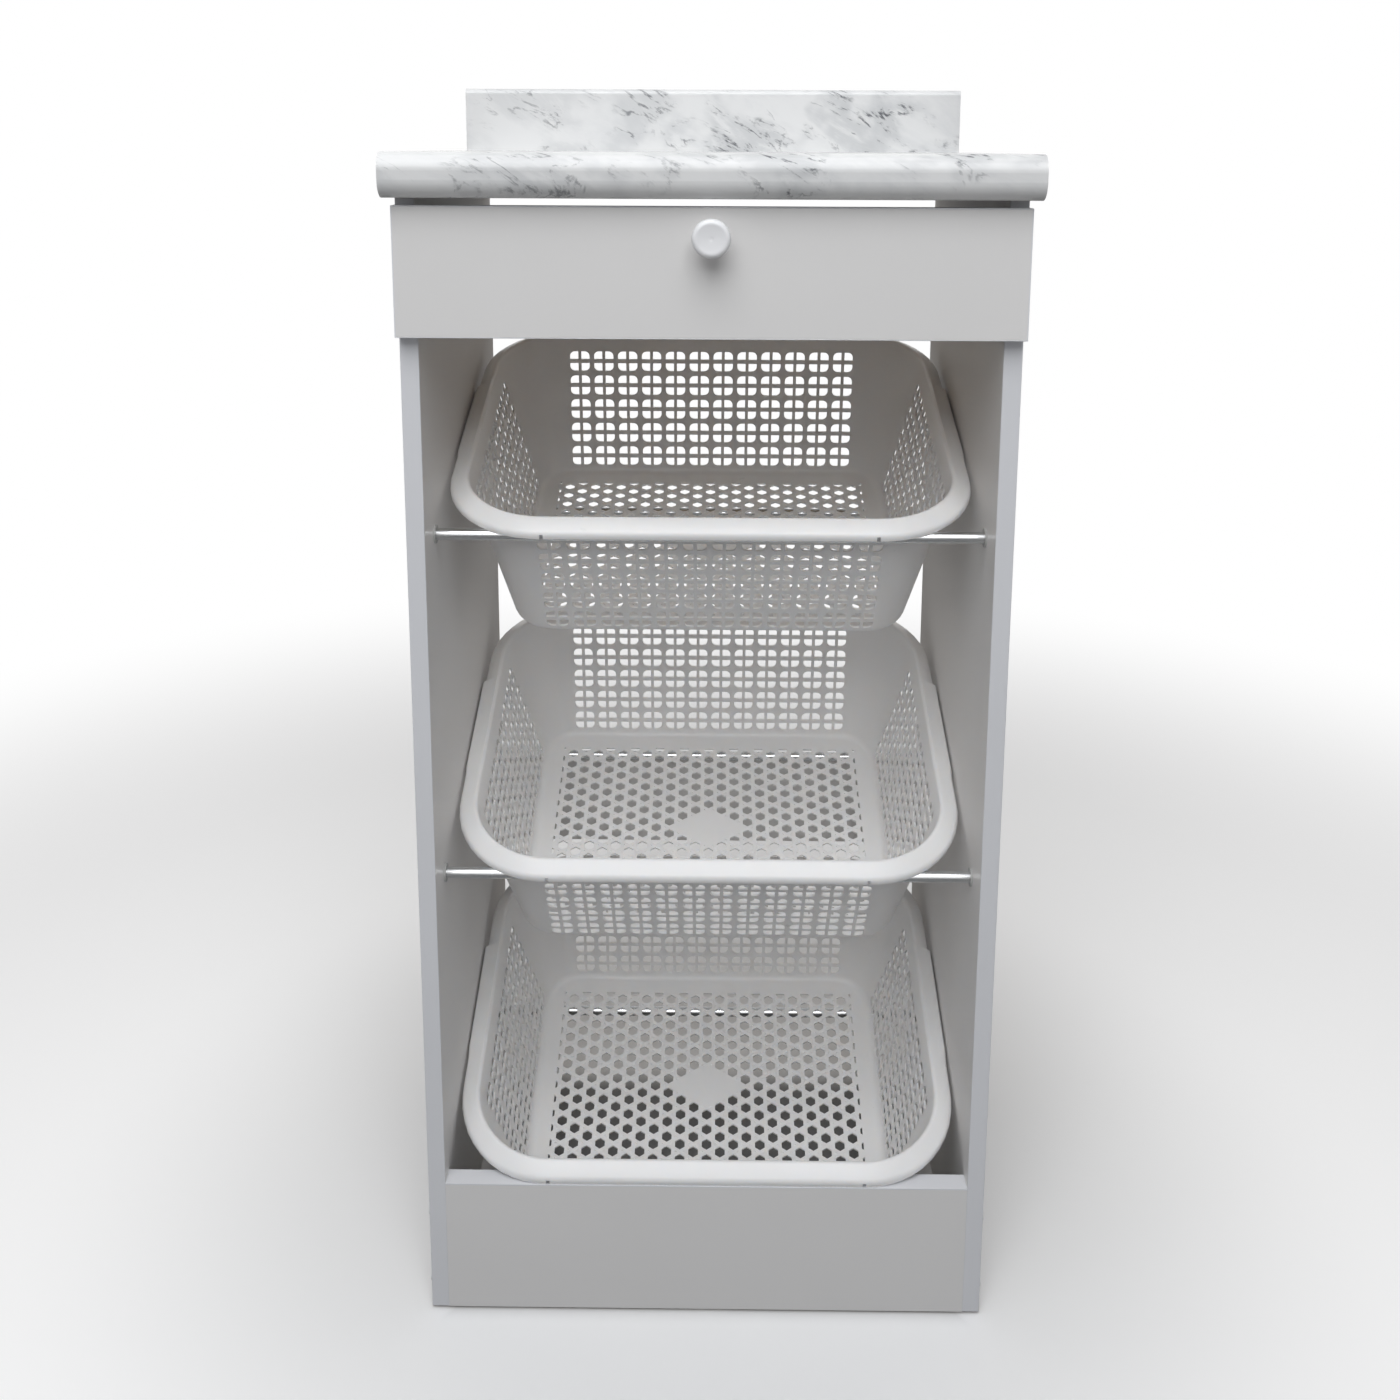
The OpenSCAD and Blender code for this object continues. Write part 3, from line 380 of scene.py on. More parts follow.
# Drawer front.
# A banded board that overlaps the panels, screwed to the inner front from inside the box. Its
# banding has nearly the tone of the board, so that it shows only as a thin line.
give(["drawer_front"], board_finish("front_board", ["-Z"]))
soften(["drawer_front_edging"], 0.0005)

# Knob.
# A turned or moulded white knob: a disc with a rounded rim and a shallow dished face on a
# waisted stem. A screw from inside the drawer front holds it.
knob_low, knob_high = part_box("knob")
knob_middle = (knob_low + knob_high) / 2
# Radius, and distance ahead of the drawer front, in mm, from the foot to the middle of the face
KNOB_PROFILE = [
    (0.0, 0.0), (8.7, 0.0), (9.0, 0.4), (9.0, 1.6), (8.6, 2.6), (7.9, 4.2), (7.4, 6.5),
    (7.2, 9.0), (7.4, 11.5), (8.2, 13.6), (9.8, 15.2), (11.6, 16.0), (12.8, 16.3), (13.9, 17.0),
    (14.7, 18.1), (15.0, 19.4), (15.0, 24.2), (14.75, 25.6), (14.1, 26.8), (13.1, 27.6),
    (12.0, 27.95), (11.2, 28.0), (10.2, 27.85), (8.0, 27.6), (5.0, 27.4), (2.4, 27.3),
    (1.8, 27.25), (1.2, 27.1), (0.0, 27.05),
]
KNOB_TURNS = 72


def turned_piece(name, profile, turns):
    """A closed piece turned about the Y axis from (radius, reach) pairs in mm."""
    mesh = bmesh.new()
    rings = []
    for radius, reach in profile:
        if radius == 0.0:
            rings.append([mesh.verts.new((0.0, -reach * 0.001, 0.0))])
            continue
        ring = []
        for step in range(turns):
            angle = 2 * math.pi * step / turns
            x, z = radius * math.cos(angle), radius * math.sin(angle)
            ring.append(mesh.verts.new((x * 0.001, -reach * 0.001, z * 0.001)))
        rings.append(ring)
    for first, second in zip(rings, rings[1:]):
        for step in range(turns):
            after = (step + 1) % turns
            corners = [first[step % len(first)], first[after % len(first)]]
            corners += [second[after % len(second)], second[step % len(second)]]
            mesh.faces.new(list(dict.fromkeys(corners)))
    bmesh.ops.recalc_face_normals(mesh, faces=mesh.faces)
    data = bpy.data.meshes.new(name)
    mesh.to_mesh(data)
    mesh.free()
    data.shade_smooth()
    piece = bpy.data.objects.new(name, data)
    bpy.context.scene.collection.objects.link(piece)
    return piece


knob = turned_piece("turned_knob", KNOB_PROFILE, KNOB_TURNS)
knob.location = (knob_middle.x, knob_high.y, knob_middle.z)
knob.data.materials.append(moulded_finish)
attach(knob, "drawer")
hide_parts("knob")

# Runners.
# White enamelled steel sheet, folded: a track screwed to each panel and a rail under each side
# of the drawer. Each carries one plastic roller on a riveted steel pin.
enamel_finish = even_finish(
    "white_enamel", (0.78, 0.78, 0.76), 0.32, 450.0, 0.05, 0.00008, 0.6
)
give([f"cabinet_runner_{side}" for side in ("left", "right")], enamel_finish)
give([f"drawer_runner_{side}" for side in ("left", "right")], enamel_finish)
give(["cabinet_rollers", "drawer_rollers"], moulded_finish)
give(["cabinet_roller_pins", "drawer_roller_pins"], steel_finish)
give(["cabinet_runner_screws", "drawer_runner_screws"], steel_finish)

# Basket rods.
# Drawn aluminium tube, 10 mm thick, with fine lines along it, in front of and behind each basket.
# The ends sit in moulded sockets of bare, slightly grey plastic, pressed into the panels.
socket_finish = even_finish(
    "socket_plastic", (0.5, 0.5, 0.49), 0.4, 800.0, 0.08, 0.00003, 0.4
)
give(["rod_sockets"], socket_finish)
rod_finish, rod_tree, rod_shader = new_finish("drawn_aluminium", (0.83, 0.84, 0.85), 0.27, 1.0)
rod_place = rod_tree.nodes.new("ShaderNodeMapping")
rod_place.inputs["Scale"].default_value = (0.01, 1.0, 1.0)
rod_coordinates = rod_tree.nodes.new("ShaderNodeTexCoord")
rod_tree.links.new(rod_coordinates.outputs["Object"], rod_place.inputs["Vector"])
rod_lines = noise(rod_tree, 2600.0, 3.0, 0.6, rod_place.outputs["Vector"])
rod_colour = blend(rod_tree, rod_lines, (0.58, 0.59, 0.6), (0.76, 0.77, 0.78))
rod_tree.links.new(rod_colour, rod_shader.inputs["Base Color"])
rod_sheen = combine(rod_tree, "MULTIPLY_ADD", rod_lines, 0.16, 0.19)
rod_tree.links.new(rod_sheen, rod_shader.inputs["Roughness"])
relief(rod_tree, rod_shader, rod_lines, 0.00002, 0.5)
rods = ["front_rod_upper", "front_rod_middle"]
rods += ["rear_rod_upper", "rear_rod_middle", "rear_rod_lower"]
give(rods, rod_finish)

# Baskets.
# Injection moulded white plastic, 2 mm thick: hexagonal openings in the floor round a plain
# lozenge, groups of four rounded openings in the walls, and a rolled rim with a grip on each
# side. Each basket hangs with its rim on a rod and lies on a second one, so it lifts out.

# Half lengths of the straight sides, up to the corners, in mm
STRAIGHT_X, STRAIGHT_S = 143.0, 93.5
# How far the pattern of a wall reaches past the middle, in mm
PANEL_X, PANEL_S = 150.0, 100.0
DRAFT = math.radians(12.5)
BEND_R, PLASTIC = 8.0, 2.0
FOOT_U, FOOT_N = 69.5, 149.0
BEND_U = FOOT_U - FOOT_N * math.tan(DRAFT) + BEND_R * math.tan(DRAFT) - BEND_R / math.cos(DRAFT)
RIM_INNER_R, RIM_OUTER_R, RIM_BAND, RIM_TOP, RIM_DROP = 3.0, 6.0, 17.5, 152.0, 5.0
SKIRT_N, GRIP_N = 139.5, 134.0


def arc(centre, radius, start, end, steps, side):
    """Points of an arc in the section, each with the way to the other face of the plastic."""
    found = []
    for step in range(steps + 1):
        angle = start + (end - start) * step / steps
        cos, sin = math.cos(angle), math.sin(angle)
        found.append((centre[0] + radius * cos, centre[1] + radius * sin, side * cos, side * sin))
    return found


shoulder_in = (FOOT_U + RIM_INNER_R, FOOT_N)
shoulder_out = (FOOT_U + RIM_BAND - RIM_OUTER_R, RIM_TOP - RIM_DROP - RIM_OUTER_R)
step_u, step_n = shoulder_out[0] - shoulder_in[0], shoulder_out[1] - shoulder_in[1]
lean = math.acos((RIM_INNER_R - RIM_OUTER_R) / math.hypot(step_u, step_n))
BAND_ANGLE = math.atan2(step_n, step_u) + lean
NOTCH_ANGLE = math.radians(24)
SHOULDER_STEPS = 4
bend_rows = arc((BEND_U, BEND_R), BEND_R, -math.pi / 2, -DRAFT, 5, 1)
rim_rows = arc(shoulder_in, RIM_INNER_R, math.pi - DRAFT, BAND_ANGLE, SHOULDER_STEPS, -1)
rim_rows += arc(shoulder_out, RIM_OUTER_R, BAND_ANGLE, NOTCH_ANGLE, 4, -1)
rim_rows += arc(shoulder_out, RIM_OUTER_R, NOTCH_ANGLE, 0.0, 2, -1)[1:]
rim_rows.append((FOOT_U + RIM_BAND, SKIRT_N, -1.0, 0.0))
NOTCH_ROWS = (len(rim_rows) - 4, len(rim_rows) - 1)
wall_low, wall_high = bend_rows[-1], rim_rows[0]
WALL_L = math.hypot(wall_high[0] - wall_low[0], wall_high[1] - wall_low[1])
WALL_STEPS = 12


def wall_row(share):
    """Row of the section at a share of the way up the wall."""
    return [a + (b - a) * share for a, b in zip(wall_low, wall_high)]


# The four sides in turn: outward way, way along, distance and half length of the straight part,
# half length of the panel
SIDES = [
    (Vector((1, 0)), Vector((0, 1)), STRAIGHT_X, STRAIGHT_S, PANEL_S),
    (Vector((0, 1)), Vector((-1, 0)), STRAIGHT_S, STRAIGHT_X, PANEL_X),
    (Vector((-1, 0)), Vector((0, -1)), STRAIGHT_X, STRAIGHT_S, PANEL_S),
    (Vector((0, -1)), Vector((1, 0)), STRAIGHT_S, STRAIGHT_X, PANEL_X),
]
CORNER_STEPS = 10
NOTCH_AT, NOTCH_HALF = 141.0, 1.5
# Where the grip on a side rim ends at its back, within a short step, and at its front, with a
# ramp, in mm from the middle. Then how far it stands out and up, and how far the rim behind it
# is drawn in
GRIP_BACK, GRIP_STEP, GRIP_FRONT, GRIP_RAMP = 60.0, 0.8, -62.0, 10.0
GRIP_OUT, GRIP_UP, RECESS = 1.2, 0.8, 1.6
# Steps along a long and a short panel, and the least space they leave to a notch or a grip
LONG_STEPS, SHORT_STEPS, LEAST_SPACE = 24, 16, 2.2


def panel_stations(side):
    """Places along one side at which the mesh has a vertex on the bend and on the rim."""
    half = SIDES[side][4]
    count = LONG_STEPS if side % 2 else SHORT_STEPS
    places = [half * (2 * step / count - 1) for step in range(count + 1)]
    if side % 2:
        extra = [s * (NOTCH_AT + e) for s in (-1, 1) for e in (-NOTCH_HALF, NOTCH_HALF)]
    else:
        sign = 1 if side == 0 else -1
        grip = (GRIP_BACK, GRIP_BACK + GRIP_STEP, GRIP_FRONT, GRIP_FRONT + GRIP_RAMP)
        extra = [sign * value for value in grip]
    places = [p for p in places if all(abs(p - e) > LEAST_SPACE for e in extra) or abs(p) == half]
    return sorted(places + extra)


stations = []
for side in range(4):
    stations += [(side, "along", value) for value in panel_stations(side)]
    stations += [(side, "corner", step / CORNER_STEPS) for step in range(1, CORNER_STEPS)]


def spot(station, reach, u):
    """Where a station lies in the basket's plane, at u from the corner's middle."""
    side, kind, value = station
    outward, along, distance, straight, half = SIDES[side]
    if kind == "along":
        over = max(0.0, abs(value) - straight)
        if over == 0.0:
            return outward * (distance + u) + along * value
        angle, sign = over / reach, math.copysign(1.0, value)
        aside = along * sign * (straight + u * math.sin(angle))
        return outward * (distance + u * math.cos(angle)) + aside
    after = SIDES[(side + 1) % 4]
    start = (half - straight) / reach
    end = math.pi / 2 - (after[4] - after[3]) / reach
    angle = start + (end - start) * value
    turn = outward * math.cos(angle) + along * math.sin(angle)
    return outward * distance + along * straight + turn * u


def station_depth(station):
    """Place of a station from the front to the back of the basket, on the side walls."""
    side, kind, value = station
    if kind != "along" or side % 2:
        return None
    return value if side == 0 else -value


def grip_share(station):
    """1 where the grip stands out of the side rim, 0 elsewhere, with a ramp at its front."""
    depth = station_depth(station)
    if depth is None or depth > GRIP_BACK + GRIP_STEP / 2:
        return 0.0
    return min(1.0, max(0.0, (depth - GRIP_FRONT) / GRIP_RAMP))


def recess_share(station):
    """1 where the rim is drawn in behind the grip, easing to 0 round the rear corner."""
    side, kind, value = station
    if kind == "corner":
        return {0: (1 - value) ** 2, 1: value ** 2}.get(side, 0.0)
    depth = station_depth(station)
    return 1.0 if depth is not None and depth > GRIP_BACK + GRIP_STEP / 2 else 0.0


# Openings of the walls, in mm: half size and rounding of one, its middle in its group of four,
# and the steps from group to group
CELL_HALF, CELL_ROUNDING, CELL_STEPS = 4.3, 5.0, 5
CELL_ACROSS, CELL_UP = 5.85, 6.4
GROUP_ACROSS, GROUP_UP, FIRST_UP, GROUP_ROWS = 25.1, 26.46, 18.5, 5
LONG_GROUPS, SHORT_GROUPS = 12, 8


def rounded_cell(across, up, out_x, out_w):
    """One opening of a group of four: square, with its outer corner rounded."""
    points = [(-CELL_HALF, -CELL_HALF), (CELL_HALF, -CELL_HALF)]
    for step in range(CELL_STEPS + 1):
        angle = math.pi / 2 * step / CELL_STEPS
        x = CELL_HALF - CELL_ROUNDING * (1 - math.cos(angle))
        points.append((x, CELL_HALF - CELL_ROUNDING * (1 - math.sin(angle))))
    points.append((-CELL_HALF, CELL_HALF))
    placed = [(across + out_x * x, up + out_w * w) for x, w in points]
    return placed if out_x * out_w > 0 else placed[::-1]


def wall_openings(groups):
    """The openings of a wall with that many groups along it."""
    found = []
    for column in range(groups):
        for row in range(GROUP_ROWS):
            across = GROUP_ACROSS * (column - (groups - 1) / 2)
            up = FIRST_UP + GROUP_UP * row
            for out_x in (-1, 1):
                for out_w in (-1, 1):
                    place = (across + CELL_ACROSS * out_x, up + CELL_UP * out_w)
                    found.append(rounded_cell(*place, out_x, out_w))
    return found


def clipped(points, half_x, half_s):
    """Cuts a convex outline to the field of the floor."""
    for axis, limit in ((0, half_x), (1, half_s)):
        for sign in (-1, 1):
            kept = []
            for first, second in zip(points, points[1:] + points[:1]):
                inside = [limit - sign * p[axis] for p in (first, second)]
                if inside[0] >= 0:
                    kept.append(first)
                if inside[0] * inside[1] < 0:
                    share = inside[0] / (inside[0] - inside[1])
                    kept.append(tuple(a + (b - a) * share for a, b in zip(first, second)))
            points = kept
    return points


def polygon(x, s, radius, corners, start):
    """Regular outline round a point."""
    angles = [math.radians(start + 360 * k / corners) for k in range(corners)]
    return [(x + radius * math.cos(a), s + radius * math.sin(a)) for a in angles]


# Openings of the floor, in mm: steps from column to column and from row to row, radius of a
# hexagon, and half sizes of the field. Then the same of the dimples between the hexagons
HEX_COLUMN, HEX_ROW, HEX_RADIUS, FIELD_X, FIELD_S = 13.55, 7.825, 5.6, 159.8, 109.8
HEX_COLUMNS, HEX_ROWS, LOZENGE = 12, 14, 2
DIMPLE_RADIUS, DIMPLE_X, DIMPLE_S, DIMPLE_DEPTH, DIMPLE_FOOT = 1.7, 156.0, 104.0, 0.6, 0.7


def floor_pattern():
    """Hexagonal openings round a plain lozenge, and three-cornered dimples between them."""
    openings, dimples = [], []
    for i in range(-HEX_COLUMNS, HEX_COLUMNS + 1):
        for j in range(-HEX_ROWS, HEX_ROWS + 1):
            if (i + j) % 2:
                continue
            if abs(i) + abs(j) > LOZENGE:
                hexagon = polygon(i * HEX_COLUMN, j * HEX_ROW, HEX_RADIUS, 6, 30)
                hexagon = clipped(hexagon, FIELD_X, FIELD_S)
                if len(hexagon) > 2:
                    openings.append(hexagon)
            for sign in (-1, 1):
                column = i + sign * 2 / 3
                x, s = column * HEX_COLUMN, j * HEX_ROW
                inside = abs(x) < DIMPLE_X and abs(s) < DIMPLE_S
                if inside and abs(column) + abs(j) > LOZENGE + 1:
                    start = 0 if sign > 0 else 180
                    dimples.append(polygon(x, s, DIMPLE_RADIUS, 3, start))
    return openings, dimples


def split_panel(outline, openings, dimples=()):
    """Triangles of a flat panel round its openings, and of its dimples."""
    points, loops = [], []
    for loop in [outline, *openings, *dimples]:
        loops.append(list(range(len(points), len(points) + len(loop))))
        points += [Vector(p) for p in loop]
    made = delaunay_2d_cdt(points, [], loops, 1, 1e-5)
    coordinates, faces, owners = made[0], made[2], made[5]
    plain, dimpled = [], {}
    for face, owner in zip(faces, owners):
        inner = [k for k in owner if k > 0]
        if not inner:
            plain.append(face)
        elif inner[0] > len(openings):
            dimpled.setdefault(inner[0], []).append(face)
    return coordinates, plain, list(dimpled.values())


def basket_mesh():
    """The whole shell: an upper face, a lower face 2 mm behind it, and the edges between."""
    mesh = bmesh.new()
    upper, lower, found = {}, {}, {}
    skipped = set()

    def corner(key, point, other):
        """A pair of vertices, one on each face of the plastic, in mm."""
        tag = tuple(round(v, 3) for v in point)
        if tag not in found:
            upper_vertex = mesh.verts.new([v * 0.001 for v in point])
            lower_vertex = mesh.verts.new([v * 0.001 for v in other])
            found[tag] = (upper_vertex, lower_vertex)
        upper[key], lower[key] = found[tag]

    def face(keys):
        """A face on the upper side, and its twin on the lower side."""
        keys = [k for n, k in enumerate(keys) if upper[k] is not upper[keys[n - 1]]]
        if len(keys) > 2:
            mesh.faces.new([upper[k] for k in keys])
            mesh.faces.new([lower[k] for k in reversed(keys)])

    def row_corner(key, station, row, out=0.0, down=0.0):
        """The pair of vertices of one row of the section at a station."""
        u, n, to_u, to_n = row
        here = spot(station, u, u + out)
        there = spot(station, u, u + out + PLASTIC * to_u)
        corner(key, (*here, n - down), (*there, n - down + PLASTIC * to_n))

    def strip(names):
        """Faces between rows of vertices, all the way round, but for the skipped ones."""
        for first, second in zip(names, names[1:]):
            for one, two in zip(stations, stations[1:] + stations[:1]):
                if (first, one) in skipped:
                    continue
                face([(first, one), (first, two), (second, two), (second, one)])

    # Bend between the floor and the walls
    for number, row in enumerate(bend_rows):
        for station in stations:
            row_corner((("bend", number), station), station, row)
    strip([("bend", k) for k in range(len(bend_rows))])
    # Rolled rim, with its grips and its notches. The first rows turn over the top of the wall
    for number, row in enumerate(rim_rows):
        for station in stations:
            share = grip_share(station)
            outer = min(1.0, max(0.0, number - SHOULDER_STEPS) / 3)
            out = (GRIP_OUT * share - RECESS * recess_share(station)) * outer
            on_top = abs(number - SHOULDER_STEPS - 1) <= 2
            down = -GRIP_UP * share if on_top else 0.0
            if number == len(rim_rows) - 1:
                down = (SKIRT_N - GRIP_N) * share
            row_corner((("rim", number), station), station, row, out, down)
    for station, after in zip(stations, stations[1:]):
        side, kind, value = station
        if side % 2 and kind == "along" and after[1] == "along":
            middle = abs(value + after[2]) / 2
            if abs(middle - NOTCH_AT) < NOTCH_HALF:
                skipped.update((("rim", k), station) for k in range(*NOTCH_ROWS))
    strip([("rim", k) for k in range(len(rim_rows))])
    # Corners of the walls, between the patterned panels
    last_bend, first_rim = ("bend", len(bend_rows) - 1), ("rim", 0)
    for side in range(4):
        run = [s for s in stations if s[0] == side and s[1] == "corner"]
        run = [(side, "along", SIDES[side][4])] + run
        run.append(((side + 1) % 4, "along", -SIDES[(side + 1) % 4][4]))
        names = [last_bend] + [("wall", k) for k in range(1, WALL_STEPS)] + [first_rim]
        for level in range(1, WALL_STEPS):
            row = wall_row(level / WALL_STEPS)
            for station in run:
                row_corner((("wall", level), station), station, row)
        for first, second in zip(names, names[1:]):
            for one, two in zip(run, run[1:]):
                face([(first, one), (first, two), (second, two), (second, one)])
    # Walls with their openings, laid out flat and then bent on to the basket
    for side in range(4):
        half = SIDES[side][4]
        places = panel_stations(side)
        levels = [WALL_L * k / WALL_STEPS for k in range(1, WALL_STEPS)]
        outline = [(p, 0.0) for p in places] + [(half, w) for w in levels]
        outline += [(p, WALL_L) for p in reversed(places)]
        outline += [(-half, w) for w in reversed(levels)]
        shift = math.hypot(wall_low[0] - FOOT_U + FOOT_N * math.tan(DRAFT), wall_low[1])
        cells = wall_openings(LONG_GROUPS if side % 2 else SHORT_GROUPS)
        cells = [[(x, w - shift) for x, w in cell] for cell in cells]
        coordinates, plain, _ = split_panel(outline, cells)
        for number, (t, w) in enumerate(coordinates):
            row_corner(("panel", side, number), (side, "along", t), wall_row(w / WALL_L))
        for triangle in plain:
            face([("panel", side, k) for k in triangle])
    # Floor with its openings and dimples
    outline = [tuple(spot(s, BEND_U, BEND_U)) for s in stations]
    openings, dimples = floor_pattern()
    coordinates, plain, dimpled = split_panel(outline, openings, dimples)
    for number, (x, s) in enumerate(coordinates):
        corner(("floor", number), (x, s, 0.0), (x, s, -PLASTIC))
    for triangle in plain:
        face([("floor", k) for k in triangle])
    for triangles in dimpled:
        rim = list(dict.fromkeys(k for triangle in triangles for k in triangle))
        middle = sum((coordinates[k] for k in rim), Vector((0, 0))) / len(rim)
        rim.sort(key=lambda k: math.atan2(*(coordinates[k] - middle).yx))
        sunk = []
        for k in rim:
            x, s = middle + (coordinates[k] - middle) * DIMPLE_FOOT
            sunk.append(mesh.verts.new((x * 0.001, s * 0.001, -DIMPLE_DEPTH * 0.001)))
        for n, k in enumerate(rim):
            sides = [upper[("floor", rim[n - 1])], upper[("floor", k)], sunk[n], sunk[n - 1]]
            mesh.faces.new(sides)
        mesh.faces.new(sunk)
        mesh.faces.new([lower[("floor", k)] for k in reversed(rim)])
    # Edges of the openings and of the skirt, across the thickness of the plastic
    other = {id(a): b for a, b in found.values()}
    for edge in [e for e in mesh.edges if e.is_boundary]:
        one, two = edge.verts
        if id(one) in other and id(two) in other:
            near = edge.link_loops[0]
            first, second = (one, two) if near.vert is two else (two, one)
            mesh.faces.new([first, second, other[id(second)], other[id(first)]])
    bmesh.ops.recalc_face_normals(mesh, faces=mesh.faces)
    data = bpy.data.meshes.new("basket_shell")
    mesh.to_mesh(data)
    mesh.free()
    data.shade_smooth()
    data.set_sharp_from_angle(angle=math.radians(35))
    return data


basket_finish = even_finish(
    "basket_plastic", (0.95, 0.937, 0.925), 0.3, 350.0, 0.05, 0.00005, 0.35
)
basket_tree = basket_finish.node_tree
basket_shader = basket_tree.nodes["Principled BSDF"]
basket_shader.inputs["Subsurface Weight"].default_value = 0.55
basket_shader.inputs["Subsurface Radius"].default_value = (0.006, 0.0055, 0.005)
basket_sheen = combine(basket_tree, "MULTIPLY_ADD", noise(basket_tree, 45.0, 3.0), 0.14, 0.24)
basket_tree.links.new(basket_sheen, basket_shader.inputs["Roughness"])
shell = basket_mesh()
shell.materials.append(basket_finish)

# Seats of the baskets, in mm. The middle of the front rod, seen from the middle of the floor, is
# below the end of the skirt and ahead of the front wall
FRONT_PLANE, ROD_R, SEAT_GAP = -163.5, 5.0, 0.25
HOOK_N = SKIRT_N - ROD_R - SEAT_GAP
FLOOR_U = FOOT_U - FOOT_N * math.tan(DRAFT)
HOOK_OUT = (PLASTIC + ROD_R + SEAT_GAP) / math.cos(DRAFT)
HOOK_S = -(STRAIGHT_S + FLOOR_U + HOOK_N * math.tan(DRAFT) + HOOK_OUT)
# Tilt of each basket in degrees, the place that holds it, behind the front plane of the panels
# and above the ground, and the point of the basket that is held there. The lower one lies on
# the plinth
BASKETS = {
    "upper": (20.5, (41.5, 716.0), (HOOK_S, HOOK_N)),
    "middle": (22.0, (41.5, 406.0), (HOOK_S, HOOK_N)),
    "lower": (21.5, (1.0, 128.25), (-180.5, SKIRT_N)),
}
for name, (tilt, held_at, point) in BASKETS.items():
    angle = math.radians(tilt)
    cos, sin = math.cos(angle), math.sin(angle)
    y = FRONT_PLANE + held_at[0] - (point[0] * cos - point[1] * sin)
    z = held_at[1] - (point[0] * sin + point[1] * cos)
    hung_shell = shell.copy()
    turned = Matrix.Rotation(angle, 4, "X")
    hung_shell.transform(Matrix.Translation((0.0, y * 0.001, z * 0.001)) @ turned)
    basket = bpy.data.objects.new(f"perforated_basket_{name}", hung_shell)
    bpy.context.scene.collection.objects.link(basket)
    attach(basket, f"basket_{name}")
    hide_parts(f"basket_{name}")

# Floor.
# A pale sheet under the cabinet, plain but for a painted shade between the panels. It is white to
# the camera further out, so that it runs into the white behind, and it keeps the shadow of the
# cabinet near its feet.
HALF_FLOOR = 30.0
# Distances from the middle of the cabinet over which the floor gets paler, and then white
PALE_FROM, PALE_TO, WHITE_FROM, WHITE_TO = 0.25, 0.7, 1.0, 2.0
# Distances to the side and ahead or behind over which the painted shade on the ground between the
# panels ends
SHADE_EDGE_X, SHADE_EDGE_Y = (0.2, 0.24), (0.13, 0.18)
# The dim ground is both the floor that lights the cabinet from below and, to the camera, the
# painted shade between the panels
DIM_BOUNCE_AND_SHADE_GROUND, PALE_GROUND, LIFT = (0.28, 0.28, 0.28), (0.98, 0.98, 0.98), (0.2, 0.2, 0.2)
floor_data = bpy.data.meshes.new("studio_floor")
floor_corners = [(-1, -1), (1, -1), (1, 1), (-1, 1)]
floor_places = [(x * HALF_FLOOR, y * HALF_FLOOR, 0.0) for x, y in floor_corners]
floor_data.from_pydata(floor_places, [], [(0, 1, 2, 3)])
floor = bpy.data.objects.new("studio_floor", floor_data)
bpy.context.scene.collection.objects.link(floor)
floor_finish, floor_tree, floor_shader = new_finish("pale_floor", (0.9, 0.9, 0.9), 0.9)
floor_shader.inputs["Specular IOR Level"].default_value = 0.1
white = floor_tree.nodes.new("ShaderNodeEmission")
white.inputs["Color"].default_value = (1.0, 1.0, 1.0, 1.0)
floor_place = floor_tree.nodes.new("ShaderNodeTexCoord")
away = floor_tree.nodes.new("ShaderNodeVectorMath")
away.operation = "LENGTH"
floor_tree.links.new(floor_place.outputs["Object"], away.inputs[0])
far = ramp(floor_tree, away.outputs["Value"], WHITE_FROM, WHITE_TO)
# The floor that is seen is paler than the floor that lights the cabinet from below, except between
# the panels, where the ground seen through the lower basket keeps the dim colour as painted shade
floor_path = floor_tree.nodes.new("ShaderNodeLightPath")
sight = floor_path.outputs["Is Camera Ray"]
floor_split = floor_tree.nodes.new("ShaderNodeSeparateXYZ")
floor_tree.links.new(floor_place.outputs["Object"], floor_split.inputs["Vector"])
beside = ramp(floor_tree, combine(floor_tree, "ABSOLUTE", floor_split.outputs["X"]), *SHADE_EDGE_X)
beyond = ramp(floor_tree, combine(floor_tree, "ABSOLUTE", floor_split.outputs["Y"]), *SHADE_EDGE_Y)
seen_outside_shade = combine(floor_tree, "MULTIPLY", sight, combine(floor_tree, "MAXIMUM", beside, beyond))
floor_colour = blend(floor_tree, seen_outside_shade, DIM_BOUNCE_AND_SHADE_GROUND, PALE_GROUND)
floor_tree.links.new(floor_colour, floor_shader.inputs["Base Color"])
floor_mix = floor_tree.nodes.new("ShaderNodeMixShader")
floor_tree.links.new(combine(floor_tree, "MULTIPLY", far, sight), floor_mix.inputs["Fac"])
near_floor = floor_tree.nodes.new("ShaderNodeAddShader")
lift = floor_tree.nodes.new("ShaderNodeEmission")
paler = ramp(floor_tree, away.outputs["Value"], PALE_FROM, PALE_TO)
around = combine(floor_tree, "MULTIPLY", sight, paler)
lift_colour = blend(floor_tree, around, (0.0, 0.0, 0.0), LIFT)
floor_tree.links.new(lift_colour, lift.inputs["Color"])
floor_tree.links.new(floor_shader.outputs["BSDF"], near_floor.inputs[0])
floor_tree.links.new(lift.outputs["Emission"], near_floor.inputs[1])
floor_tree.links.new(near_floor.outputs["Shader"], floor_mix.inputs[1])
floor_tree.links.new(white.outputs["Emission"], floor_mix.inputs[2])
floor_output = floor_tree.nodes["Material Output"]
floor_tree.links.new(floor_mix.outputs["Shader"], floor_output.inputs["Surface"])
floor_data.materials.append(floor_finish)

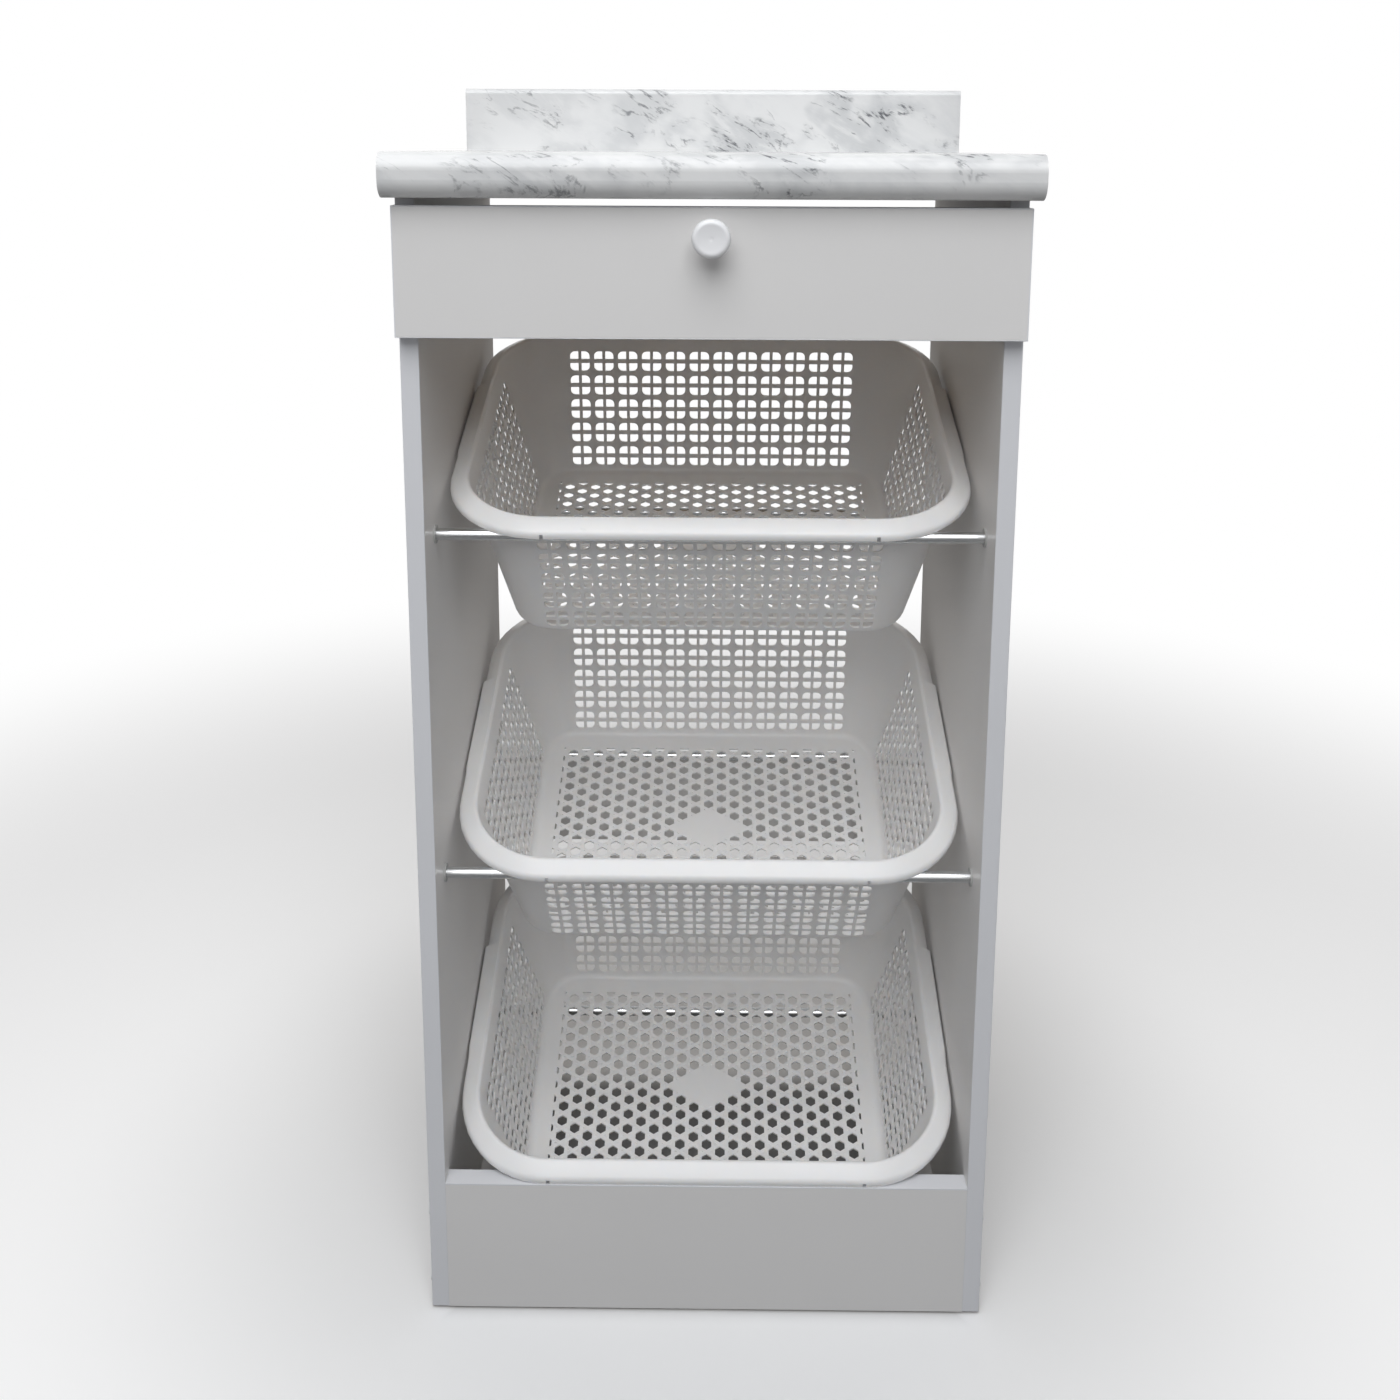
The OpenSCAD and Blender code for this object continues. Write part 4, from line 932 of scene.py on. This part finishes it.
# Studio light.
# Plain dim surroundings, a wide soft light ahead of the cabinet and above it, which reaches into
# the baskets, and a weaker one overhead.
world = bpy.data.worlds.new("studio")
world.use_nodes = True
bpy.context.scene.world = world
sky_tree = world.node_tree
surroundings = sky_tree.nodes["Background"]
sky_place = sky_tree.nodes.new("ShaderNodeTexCoord")
sky_way = sky_tree.nodes.new("ShaderNodeSeparateXYZ")
sky_tree.links.new(sky_place.outputs["Generated"], sky_way.inputs["Vector"])
behind = ramp(sky_tree, sky_way.outputs["Y"], -0.1, 0.7)
sky = blend(sky_tree, behind, (0.25, 0.255, 0.267), (0.4, 0.375, 0.345))
sky_tree.links.new(sky, surroundings.inputs["Color"])
# The camera and mirrored rays see plain white
backdrop = sky_tree.nodes.new("ShaderNodeBackground")
backdrop.inputs["Color"].default_value = (1.0, 1.0, 1.0, 1.0)
path = sky_tree.nodes.new("ShaderNodeLightPath").outputs
sees_white = combine(sky_tree, "MAXIMUM", path["Is Camera Ray"], path["Is Glossy Ray"])
sky_mix = sky_tree.nodes.new("ShaderNodeMixShader")
sky_tree.links.new(sees_white, sky_mix.inputs["Fac"])
sky_tree.links.new(surroundings.outputs["Background"], sky_mix.inputs[1])
sky_tree.links.new(backdrop.outputs["Background"], sky_mix.inputs[2])
sky_tree.links.new(sky_mix.outputs["Shader"], sky_tree.nodes["World Output"].inputs["Surface"])


def soft_light(name, place, aim, width, power):
    """A square soft light that looks from place to aim."""
    data = bpy.data.lights.new(name, "AREA")
    data.shape = "SQUARE"
    data.size = width
    data.energy = power
    data.color = (0.97, 0.985, 1.0)
    light = bpy.data.objects.new(name, data)
    bpy.context.scene.collection.objects.link(light)
    light.location = place
    light.rotation_euler = (Vector(aim) - Vector(place)).to_track_quat("-Z", "Y").to_euler()


soft_light("overhead_light", (-0.2, -0.5, 3.0), (0.0, 0.0, 0.6), 1.5, 12.0)
soft_light("front_light", (-0.1, -2.0, 2.6), (0.0, 0.0, 0.5), 2.0, 44.0)

# Camera.
# It stands where the photograph was taken: just above the worktop, 1.25 m ahead of the middle
# of the cabinet, looking slightly down. The shift puts the cabinet in the middle of the frame.
PITCH, YAW, ROLL = (math.radians(v) for v in (10.278, -0.476, 0.263))
# Focal length and the point straight ahead, in pixels of the square frame, as solved from the
# corners of the carcass
FOCAL, MIDDLE_X, MIDDLE_Y, FRAME = 1386.57, 701.63, 398.98, 1400.0
PLACE, SENSOR = Vector((0.002, -1.2537, 1.0388)), 36.0
level = Vector((math.cos(YAW), -math.sin(YAW), 0.0))
forward = Vector((math.sin(YAW), math.cos(YAW), 0.0))
ahead = forward * math.cos(PITCH) - Vector((0.0, 0.0, math.sin(PITCH)))
upright = level.cross(ahead)
camera_right = level * math.cos(ROLL) + upright * math.sin(ROLL)
camera_up = upright * math.cos(ROLL) - level * math.sin(ROLL)
camera_data = bpy.data.cameras.new("photo_camera")
camera = bpy.data.objects.new("photo_camera", camera_data)
bpy.context.scene.collection.objects.link(camera)
turn = Matrix((camera_right, camera_up, -ahead)).transposed().to_4x4()
camera.matrix_world = Matrix.Translation(PLACE) @ turn
camera_data.sensor_width = SENSOR
camera_data.lens = SENSOR * FOCAL / FRAME
camera_data.shift_x = (FRAME / 2 - MIDDLE_X) / FRAME
camera_data.shift_y = (MIDDLE_Y - FRAME / 2) / FRAME
camera_data.clip_start, camera_data.clip_end = 0.05, 100.0
bpy.context.scene.camera = camera
bpy.context.scene.view_settings.view_transform = "Standard"
